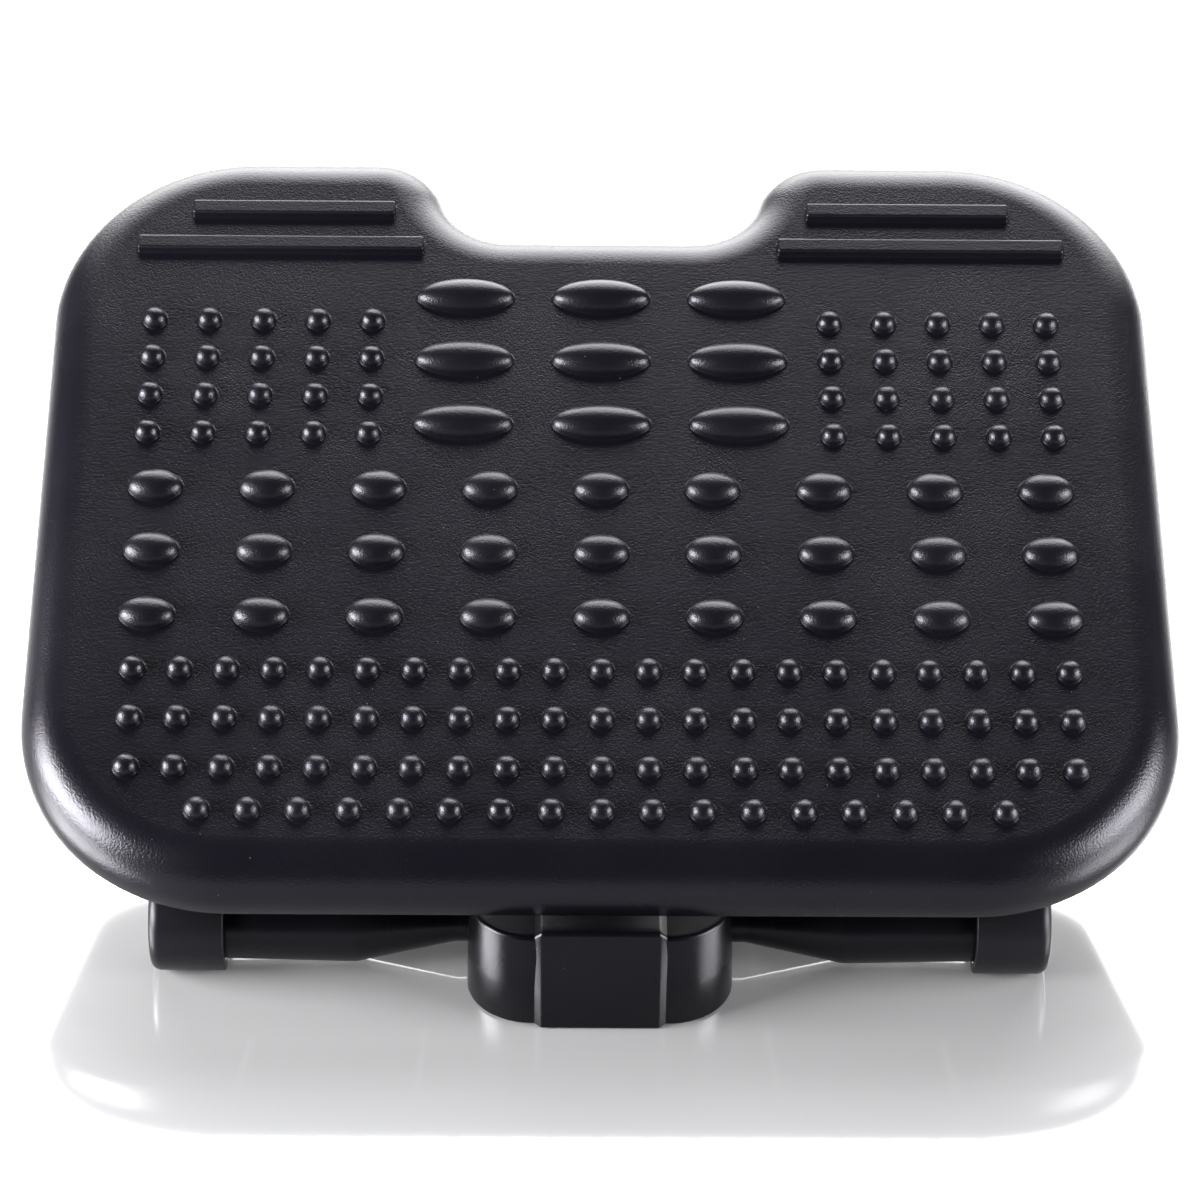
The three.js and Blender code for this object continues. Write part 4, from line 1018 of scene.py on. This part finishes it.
post_places = [*corners(POST_X, POST_Y), (0, -SPINE_POST_Y), (0, SPINE_POST_Y)]
arm_screw_places = corners(ARM_SCREW_X, ARM_LINE_Y)
post_end = PLATE_TOP + FIT_GAP
blind = PLATE_LOW + PLATE_SCREW_LENGTH + FIT_GAP
screw_hole, arm_screw_hole = SCREW_RADIUS + RUNNING_GAP, ARM_SCREW_RADIUS + FIT_GAP
post = turned([
    (NEAR_AXIS, blind), (screw_hole, blind), (screw_hole, post_end),
    (POST_RADIUS - POST_EDGE, post_end), (POST_RADIUS, post_end + POST_EDGE),
    (POST_RADIUS, ceiling + OVERLAP), (NEAR_AXIS, ceiling + OVERLAP),
], 28)
pad_end = arm_height - bore - CHAMFER
screw_pad = tube(arm_screw_hole, SCREW_PAD_RADIUS, post_end, pad_end, 28)
posts, screw_pads = upright(post, post_places), upright(screw_pad, arm_screw_places)
housing = joined(pierced_tub, band, seat, *sockets, *posts, *screw_pads)
piece("housing_tub", "base_housing", housing, "base", "base_plastic")

# %% [markdown]
# ## Arms and caps
#
# Each arm is a turned shape: a neck that plugs into the housing, a cone and a barrel with a
# slight taper. A soft rubber cup covers its end and stands on the floor on a narrow flat.
# A profile turned about a line needs few numbers, and its rounded corners catch the light.

# %% Arms
NECK_END_X = HOUSING_HALF_WIDTH + 0.0049
KINK_X = NECK_END_X + 0.038
ARM_END_X = KINK_X + 0.0763
NECK_CHAMFER, KINK_RADIUS, ARM_END_RADIUS, ARM_WALL = 0.0006, 0.01625, 0.0147, 0.0026

arm = turned(rounded([
    (NECK_RADIUS - NECK_CHAMFER, ARM_INNER_X),
    (NECK_RADIUS, ARM_INNER_X + NECK_CHAMFER),
    (NECK_RADIUS, NECK_END_X),
    (KINK_RADIUS, KINK_X),
    (ARM_END_RADIUS, ARM_END_X),
    (ARM_END_RADIUS - ARM_WALL, ARM_END_X),
    (KINK_RADIUS - ARM_WALL, KINK_X),
], [0, 0.0015, 0.0008, 0.0004, 0.0004]), 72)
for (x, y), place in ARMS.items():
    piece("turned_arm_" + place, "arm_" + place, at_arm(arm, x, y), "base", "arm_plastic")

# %% End caps
CAP_COVER, CAP_END, CAP_EDGE, CAP_MOUTH_EDGE, CAP_CHAMFER = 0.0257, 0.0033, 0.0044, 0.0005, 0.0003

mouth_x, outer_x = ARM_END_X - CAP_COVER, ARM_END_X + CAP_END
taper = (KINK_RADIUS - ARM_END_RADIUS) * CAP_COVER / (ARM_END_X - KINK_X)
mouth_radius = ARM_END_RADIUS + taper + FIT_GAP
cap = turned([
    (ARM_END_RADIUS + FIT_GAP, ARM_END_X + FIT_GAP),
    (mouth_radius, mouth_x + CAP_CHAMFER),
    (mouth_radius + CAP_CHAMFER, mouth_x),
    *[(CAP_RADIUS - inset, mouth_x + drop) for inset, drop in edge_curve(CAP_MOUTH_EDGE, 3)[::-1]],
    *[(CAP_RADIUS - inset, outer_x - drop) for inset, drop in edge_curve(CAP_EDGE, 10)],
], 96)
for (x, y), place in ARMS.items():
    points, faces = at_arm(cap, x, y)
    points[:, 2] = np.maximum(points[:, 2], 0)
    piece("rubber_cap_" + place, "end_cap_" + place, (points, faces), "base", "cap_rubber")

# %% [markdown]
# ## Screws, bolt and nut
#
# A thread is a radius that falls and rises once in each pitch, and that is turned a little on
# from each ring to the next, so that its ridge winds along the screw. A nut and the bolt's head
# are rings that follow the smaller of two outlines: the hexagon, and a cone that chamfers it.

# %% Threads and hexagons
SCREW_SIDES, SCREW_PITCH, SCREW_NECK = 20, 0.0013, 0.0006
THREAD_SHARE, RINGS_PER_PITCH = 0.16, 5
CROSS_DEPTH, CROSS_WIDTH, CROSS_TAPER = 0.0015, 0.22, 0.45
TIP_SHAPE = ((0.5, 0.4), (0.15, 0.0))
PAN_RADIUS, PAN_HEIGHT, PAN_CROSS, PAN_EDGE = 0.0042, 0.0026, 0.0025, 0.0002
PAN_LOW, PAN_TOP, PAN_FLAT, PAN_ROUND = 0.25, 0.75, 0.72, 0.28
HEX_SIDES, HEX_CORNER, HEX_BEVEL, HEX_SLOPE = 72, 0.0092, 0.0011, 1.7


def thread_rings(radius, start, end, pitch, sides):
    """Rings of a thread: radius (1 - share |1 - 2 p|) with p the part of a pitch passed."""
    angle = np.linspace(0, 1, sides, endpoint=False)
    rings = []
    for x in np.arange(start, end, pitch / RINGS_PER_PITCH):
        passed = (x / pitch - angle) % 1
        fade = min(1, (x - start) / pitch)
        thread = radius * (1 - THREAD_SHARE * fade * np.abs(1 - 2 * passed))
        rings.append(axis_ring(thread, x, sides))
    return rings


def cross_recess(face, reach):
    """A tapered cross, as the driver's recess in a screw's head."""
    low, high = CROSS_WIDTH * reach, reach
    half = [(low, -high), (low, -low), (high, -low), (high, low), (low, low), (low, high)]
    outline = np.array(half + [(-x, -y) for x, y in half])
    rings = [(face - CHAMFER, 1.0), (face, 1.0), (face + CROSS_DEPTH, CROSS_TAPER)]
    return lofted([np.insert(outline * share, 0, x, axis=1) for x, share in rings])


def screw(head, radius, tip, cross):
    """A screw along X: its head's profile, a thread and a point, with a cross in its head.

    The point's shape gives, in radii, how wide it is and how far before the tip.
    """
    rings = profile_rings(head, SCREW_SIDES)
    rings += thread_rings(radius, head[-1][1] + SCREW_NECK, tip - radius, SCREW_PITCH, SCREW_SIDES)
    point = [(share * radius, tip - back * radius) for share, back in TIP_SHAPE]
    rings += profile_rings(point, SCREW_SIDES)
    return cut(lofted(rings), [cross_recess(head[0][1], cross)])


def pan_screw(radius, tip):
    """A screw with a domed pan head, which lies before x = 0 and seats there."""
    dome = arc(
        -PAN_HEIGHT * PAN_LOW, PAN_FLAT * PAN_RADIUS, PAN_HEIGHT * PAN_TOP, PAN_ROUND * PAN_RADIUS,
        np.pi, QUARTER, 6,
    )
    edge = [(PAN_RADIUS, -PAN_EDGE), (PAN_RADIUS - PAN_EDGE, 0), (radius, 0), (radius, SCREW_NECK)]
    return screw([(r, x) for x, r in dome] + edge, radius, tip, PAN_CROSS)


def hexagon_rings(start, end, bevel_end):
    """Rings of a hexagon with chamfered ends: its radius is h / cos(a) within each sixth."""
    angle = full_turn(HEX_SIDES)
    half = HEX_CORNER * np.cos(np.pi / 6)
    hexagon = half / np.cos((angle + np.pi / 6) % (np.pi / 3) - np.pi / 6)
    steps = np.linspace(0, HEX_BEVEL, 6)
    levels = [(start + step, half + HEX_SLOPE * step) for step in steps]
    end_levels = [(end - step, half + HEX_SLOPE * step) for step in steps[::-1]]
    levels += end_levels if bevel_end else [(end, HEX_CORNER)]
    return [axis_ring(np.minimum(hexagon, cone), x, HEX_SIDES) for x, cone in levels]


def put_screws(kind, body, shapes):
    """Gives each CAD screw of a kind the shape that lies nearest to it, seen from above."""
    for number in range(1, len(shapes) + 1):
        node = f"{kind}_{number}"
        centre = np.mean(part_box(node), axis=0)[:2]
        gaps = [np.linalg.norm(shape[0].mean(axis=0)[:2] - centre) for shape in shapes]
        piece("threaded_" + node, node, shapes[np.argmin(gaps)], body, "zinc_steel")


print("thread: pitch", SCREW_PITCH, "in", RINGS_PER_PITCH, "rings")

# %% Screws of the base
SUNK_RADIUS, SUNK_HEIGHT, SUNK_LAND, SUNK_NECK, SUNK_CROSS = 0.0039, 0.0018, 0.0001, 0.0003, 0.0024
SEAT_SCREW_REACH, ARM_SCREW_REACH = 0.008, 0.007

countersunk = [
    (SUNK_RADIUS, 0), (SUNK_RADIUS, SUNK_LAND),
    (SCREW_RADIUS, SUNK_HEIGHT), (SCREW_RADIUS, SUNK_HEIGHT + SUNK_NECK),
]
plate_screw = screw(countersunk, SCREW_RADIUS, PLATE_SCREW_LENGTH, SUNK_CROSS)
seat_screw = pan_screw(SCREW_RADIUS, band_top + SEAT_SCREW_REACH - ceiling + RUNNING_GAP)
arm_screw_seat = post_end - RUNNING_GAP
arm_screw_tip = arm_height - NECK_RADIUS + ARM_SCREW_REACH
arm_screw = pan_screw(ARM_SCREW_RADIUS, arm_screw_tip - arm_screw_seat)
seat_places = corners(SEAT_SCREW_X, SEAT_SCREW_Y)
put_screws("plate_screw", "base", upright(plate_screw, post_places, PLATE_LOW))
put_screws("pedestal_screw", "base", upright(seat_screw, seat_places, ceiling - RUNNING_GAP))
for place, shape in zip(ARMS.values(), upright(arm_screw, arm_screw_places, arm_screw_seat)):
    piece("threaded_arm_screw_" + place, "arm_screw_" + place, shape, "base", "zinc_steel")

# %% Bottom plate and foot pads
DRIVER_WAY_RADIUS, PLATE_EDGE = 0.0062, 0.0005
PAD_HALF_X, PAD_HALF_Y, PAD_CORNER = 0.030, 0.011, 0.005
GROOVE_RADIUS, GROOVE_HALF, GROOVE_DEPTH = 0.0010, 0.022, 0.0006
GROOVE_PLACES = (-0.006, -0.002, 0.002, 0.006)


def plate_outline(inset):
    """The bottom plate's outline: the tub's inner wall, drawn in by a fit gap."""
    gap = HOUSING_WALL + FIT_GAP
    return housing_outline(
        gap + draft(PLATE_TOP, UPPER_DRAFT) + inset, gap + draft(PLATE_TOP, END_DRAFT) + inset
    )


sunk = turned([
    (SUNK_RADIUS + FIT_GAP, PLATE_LOW - OVERLAP), (SUNK_RADIUS + FIT_GAP, PLATE_LOW),
    (SCREW_RADIUS + FIT_GAP, PLATE_LOW + SUNK_HEIGHT), (SCREW_RADIUS + FIT_GAP, PLATE_TOP + OVERLAP),
], 32)
driver_way = rod(DRIVER_WAY_RADIUS, PLATE_LOW - OVERLAP, PLATE_TOP + OVERLAP)
plate = cut(
    slab(plate_outline, PLATE_LOW, PLATE_TOP, PLATE_EDGE),
    upright(sunk, post_places) + upright(driver_way, arm_screw_places),
)
piece("drilled_bottom_plate", "bottom_plate", plate, "base", "base_plastic")
groove = rod(GROOVE_RADIUS, -GROOVE_HALF, GROOVE_HALF, 16)
grooves = [moved(groove, y=y, z=GROOVE_DEPTH - GROOVE_RADIUS) for y in GROOVE_PLACES]
pad_outline = rounded_plate(PAD_HALF_X, PAD_HALF_Y, PAD_CORNER)
grooved_pad = cut(slab(pad_outline, 0, PLATE_LOW - FIT_GAP, CHAMFER), grooves)
for place, y in (("front", -POST_Y), ("middle", 0), ("rear", POST_Y)):
    piece("grooved_pad_" + place, "foot_pad_" + place, moved(grooved_pad, y=y), "base", "cap_rubber")

# %% [markdown]
# ## Pedestal and bracket
#
# The pedestal's tower and the bracket's ears are plates with straight flanks that run tangent
# onto a round end. With the root's half width h and its drop d, the flank touches the round end
# of radius r at the angle acos(r / sqrt(h h + d d)) - atan(d / h). Holes are cut exactly.

# %% Plates with a round end
def tapered_outline(root_half, drop, radius, count=20):
    """Points of a plate with a round end on the origin and its root below it."""
    touch = np.arctan2(-drop, root_half) + np.arccos(radius / np.hypot(root_half, drop))
    end = arc(0, 0, radius, radius, touch, np.pi - touch, count)
    return np.concatenate([[(-root_half, -drop), (root_half, -drop)], end])


def across(shape, z=0.0):
    """Turns a flat shape so that its thickness runs along X and its outline stands in Y and Z."""
    return shape[0][:, [2, 0, 1]] + (0, 0, z), shape[1]


def prism(outline, low, high):
    """A plain shape of one outline between two heights, as a tool."""
    return lofted([level_ring(outline, z) for z in (low, high)])


def block_shape(low, high):
    """A box with small rounded upright edges, between two corners."""
    low, high = np.array(low), np.array(high)
    half, middle = (high - low) / 2, (high + low) / 2

    def outline(inset):
        return rounded_rectangle(half[0] - inset, half[1] - inset, CHAMFER, 3) + middle[:2]

    return slab(outline, low[2], high[2], CHAMFER / 2, 1)


print("round end:", len(tapered_outline(2.0, 2.0, 1.0)), "points")

# %% Pedestal
FOOT_THICKNESS, FOOT_HALF_X, FOOT_HALF_Y, FOOT_CORNER = 0.006, 0.033, 0.046, 0.008
OPENING_HALF_Y, SLAB_EDGE = 0.033, 0.0008
TOWER_HALF_X, TOWER_HALF_Y, HEAD_RADIUS, CHEEK, TOWER_WALL = 0.028, 0.035, 0.016, 0.005, 0.0036
HOLLOW_PAST, BORE_REACH = 0.004, 0.03
BUSH_RADIUS, BUSH_LENGTH, BUSH_BOSS = 0.007, 0.014, 0.0105
PIN_RADIUS, PIN_ORBIT = 0.0025, 0.020
GUSSET_X, GUSSET_TOP, GUSSET_Y, GUSSET_HALF = 0.032, 0.0603, 0.016, 0.0015

foot_low = band_top + FIT_GAP
foot_top = foot_low + FOOT_THICKNESS
drop = PIVOT_HEIGHT - foot_top + OVERLAP
inner_x = TOWER_HALF_X - CHEEK
bush_hole, pin_hole = BUSH_RADIUS + RUNNING_GAP, PIN_RADIUS + RUNNING_GAP


def tower_outline(inset):
    """The tower's outline about the pivot, drawn in by an inset."""
    return tapered_outline(TOWER_HALF_Y - inset, drop, HEAD_RADIUS - inset)


inner_outline = tapered_outline(
    TOWER_HALF_Y - TOWER_WALL, drop + HOLLOW_PAST, HEAD_RADIUS - TOWER_WALL
)
tower = cut(across(slab(tower_outline, -TOWER_HALF_X, TOWER_HALF_X, SLAB_EDGE), PIVOT_HEIGHT), [
    across(prism(inner_outline, -inner_x, inner_x), PIVOT_HEIGHT),
    moved(rod(pin_hole, -BORE_REACH, BORE_REACH, 24), z=PIVOT_HEIGHT - PIN_ORBIT),
])
tower = cut(tower, [moved(rod(bush_hole, -BORE_REACH, BORE_REACH, 48), z=PIVOT_HEIGHT)])
tool_low, tool_high = foot_low - 2 * OVERLAP, foot_top + 2 * OVERLAP
seat_hole = rod(screw_hole, tool_low, tool_high)
foot_outline = rounded_plate(FOOT_HALF_X, FOOT_HALF_Y, FOOT_CORNER)
foot = cut(slab(foot_outline, foot_low, foot_top, SLAB_EDGE), [
    block_shape((-inner_x, -OPENING_HALF_Y, tool_low), (inner_x, OPENING_HALF_Y, tool_high)),
    *upright(seat_hole, seat_places),
])
boss_start = TOWER_HALF_X - BUSH_LENGTH
bush_boss = moved(turned([
    (bush_hole, boss_start), (BUSH_BOSS - CHAMFER, boss_start), (BUSH_BOSS, boss_start + CHAMFER),
    (BUSH_BOSS, inner_x + OVERLAP), (bush_hole, inner_x + OVERLAP),
], 48, closed=True), z=PIVOT_HEIGHT)
root_x, root_z = TOWER_HALF_X - OVERLAP, foot_top - OVERLAP
gusset_profile = np.array([(root_x, root_z), (GUSSET_X, root_z), (root_x, GUSSET_TOP)])
gussets = []
for y in (-GUSSET_Y, GUSSET_Y):
    sides = (y - GUSSET_HALF, y + GUSSET_HALF)
    gusset = lofted([np.insert(gusset_profile, 1, side, axis=1) for side in sides])
    gussets += [gusset, mirrored(gusset)]
pedestal = joined(foot, tower, bush_boss, mirrored(bush_boss), *gussets)
piece("hollow_pedestal", "pedestal", pedestal, "base", "base_plastic")

# %% Bracket
BOLT_RADIUS = 0.005
EAR_INNER, EAR_OUTER, EAR_RADIUS, EAR_ROOT, BRACKET_EDGE = 0.0295, 0.0335, 0.027, 0.038, 0.0006
TOOL_START, TOOL_END = 0.028, 0.035
FLANGE_LOW, FLANGE_TOP = 0.0197, 0.0227
FLANGE_HALF_X, FLANGE_HALF_Y, FLANGE_CORNER = 0.047, 0.044, 0.007
WEB_HALF, WEB_REACH = 0.0015, 0.006


def slot_outline(half, level, rest):
    """The limit slot: an arc about the pivot with a round end on the pin's place at each limit."""
    ends = [(PIN_ORBIT * np.cos(a), PIN_ORBIT * np.sin(a)) for a in (level, rest)]
    return np.concatenate([
        arc(0, 0, PIN_ORBIT + half, PIN_ORBIT + half, rest, level, 12),
        arc(*ends[0], half, half, level, level + np.pi, 9)[1:-1],
        arc(0, 0, PIN_ORBIT - half, PIN_ORBIT - half, level, rest, 12),
        arc(*ends[1], half, half, rest + np.pi, rest + 2 * np.pi, 9)[1:-1],
    ])


def ear_outline(inset):
    """An ear's outline about the pivot, its root above it, drawn in by an inset."""
    return -tapered_outline(EAR_ROOT - inset, FLANGE_LOW + OVERLAP, EAR_RADIUS - inset, 32)


clear = BOLT_RADIUS + RUNNING_GAP
slot_way = slot_outline(PIN_RADIUS + FIT_GAP, -QUARTER, -QUARTER - REST_TILT)
ear = cut(across(slab(ear_outline, EAR_INNER, EAR_OUTER, BRACKET_EDGE)), [
    across(prism(slot_way, TOOL_START, TOOL_END)), rod(clear, TOOL_START, TOOL_END, 48),
])
flange_hole = rod(SCREW_RADIUS + FIT_GAP, FLANGE_LOW - 2 * OVERLAP, FLANGE_TOP + 2 * OVERLAP)
flange_outline = rounded_plate(FLANGE_HALF_X, FLANGE_HALF_Y, FLANGE_CORNER)
flange_places = corners(BOSS_X, BOSS_Y)
flange = cut(
    slab(flange_outline, FLANGE_LOW, FLANGE_TOP, BRACKET_EDGE), upright(flange_hole, flange_places)
)
web = block_shape(
    (EAR_OUTER - OVERLAP, -WEB_HALF, FLANGE_LOW - WEB_REACH),
    (EAR_OUTER + WEB_REACH, WEB_HALF, FLANGE_LOW + OVERLAP),
)
bracket = tilted(joined(flange, ear, mirrored(ear), web, mirrored(web)))
piece("slotted_bracket", "pivot_bracket", bracket, "platform", "base_plastic")

# %% Pivot hardware
FLAT_WASHER, SPRING_WASHER, SPRING_SPLIT = (0.010, 0.0016), (0.0088, 0.0024), 0.0016
HEAD_HEIGHT, NUT_HEIGHT, PAST_NUT, BOLT_PITCH, THREAD_EDGE = 0.0064, 0.008, 0.002, 0.0015, 0.0006
BOLT_TIP_RADII, NUT_MOUTH = (0.0042, 0.0036), 0.0008
FRICTION_RADIUS, BUSH_EDGE, RING_EDGE, PIN_PAST = 0.013, 0.0003, 0.0002, 0.0015
BRACKET_SEAT, BRACKET_SCREW_REACH = 0.023, 0.010


def washer(outer, start, end, edge=RING_EDGE):
    """A flat ring that fits the bolt, with chamfered edges."""
    return turned([
        (clear, start + edge), (clear + edge, start), (outer - edge, start), (outer, start + edge),
        (outer, end - edge), (outer - edge, end), (clear + edge, end), (clear, end - edge),
    ], 64, closed=True)


def spring_ring(outer, start, end):
    """A split washer: one section carried round the bolt, from one side of its split to the other."""
    reach = SPRING_SPLIT / 2 / clear
    x, radius = np.array([(start, clear), (start, outer), (end, outer), (end, clear)]).T
    angles = np.linspace(reach, 2 * np.pi - reach, 64)
    return lofted([np.column_stack([x, radius * np.cos(a), radius * np.sin(a)]) for a in angles])


washer_x = EAR_OUTER + RUNNING_GAP
spring_x = washer_x + FLAT_WASHER[1] + RUNNING_GAP
nut_x = spring_x + SPRING_WASHER[1] + RUNNING_GAP
nut_end = nut_x + NUT_HEIGHT
bolt_end = nut_end + PAST_NUT
head_face = -EAR_OUTER - RUNNING_GAP
bolt = lofted(
    hexagon_rings(head_face - HEAD_HEIGHT, head_face, False)
    + profile_rings([(BOLT_RADIUS, head_face), (BOLT_RADIUS, EAR_OUTER)], HEX_SIDES)
    + thread_rings(
        BOLT_RADIUS, EAR_OUTER + THREAD_EDGE, bolt_end - 2 * THREAD_EDGE, BOLT_PITCH, HEX_SIDES
    )
    + profile_rings(zip(BOLT_TIP_RADII, (bolt_end - THREAD_EDGE, bolt_end)), HEX_SIDES)
)
nut = lofted(
    hexagon_rings(nut_x, nut_end, True) + profile_rings([
        (BOLT_RADIUS + NUT_MOUTH, nut_end), (clear, nut_end - THREAD_EDGE),
        (clear, nut_x + THREAD_EDGE), (BOLT_RADIUS + NUT_MOUTH, nut_x),
    ], HEX_SIDES),
    closed=True,
)
for node, shape in {
    "pivot_bolt": bolt,
    "pivot_nut": nut,
    "flat_washer": washer(FLAT_WASHER[0], washer_x, washer_x + FLAT_WASHER[1]),
    "spring_washer": spring_ring(SPRING_WASHER[0], spring_x, spring_x + SPRING_WASHER[1]),
}.items():
    piece("steel_" + node, node, tilted(shape), "platform", "zinc_steel")
bracket_screw = pan_screw(SCREW_RADIUS, BRACKET_SEAT + BRACKET_SCREW_REACH - FLANGE_LOW + RUNNING_GAP)
bracket_screws = upright(bracket_screw, flange_places, FLANGE_LOW - RUNNING_GAP)
put_screws("bracket_screw", "platform", [tilted(shape) for shape in bracket_screws])
bush = washer(BUSH_RADIUS, TOWER_HALF_X - BUSH_LENGTH, TOWER_HALF_X, BUSH_EDGE)
friction_ring = washer(FRICTION_RADIUS, TOWER_HALF_X + RUNNING_GAP, EAR_INNER - RUNNING_GAP)
for name, shape, slot in (
    ("pivot_bush", bush, "white_nylon"), ("friction_washer", friction_ring, "friction_fibre"),
):
    for side, made in (("left", mirrored(shape)), ("right", shape)):
        node = f"{name}_{side}"
        piece("turned_" + node, node, moved(made, z=PIVOT_HEIGHT), "base", slot)
pin_end = EAR_OUTER + PIN_PAST
pin = turned([
    (PIN_RADIUS - CHAMFER, -pin_end), (PIN_RADIUS, CHAMFER - pin_end),
    (PIN_RADIUS, pin_end - CHAMFER), (PIN_RADIUS - CHAMFER, pin_end),
], 32)
piece("turned_limit_pin", "limit_pin", moved(pin, z=PIVOT_HEIGHT - PIN_ORBIT), "base", "zinc_steel")
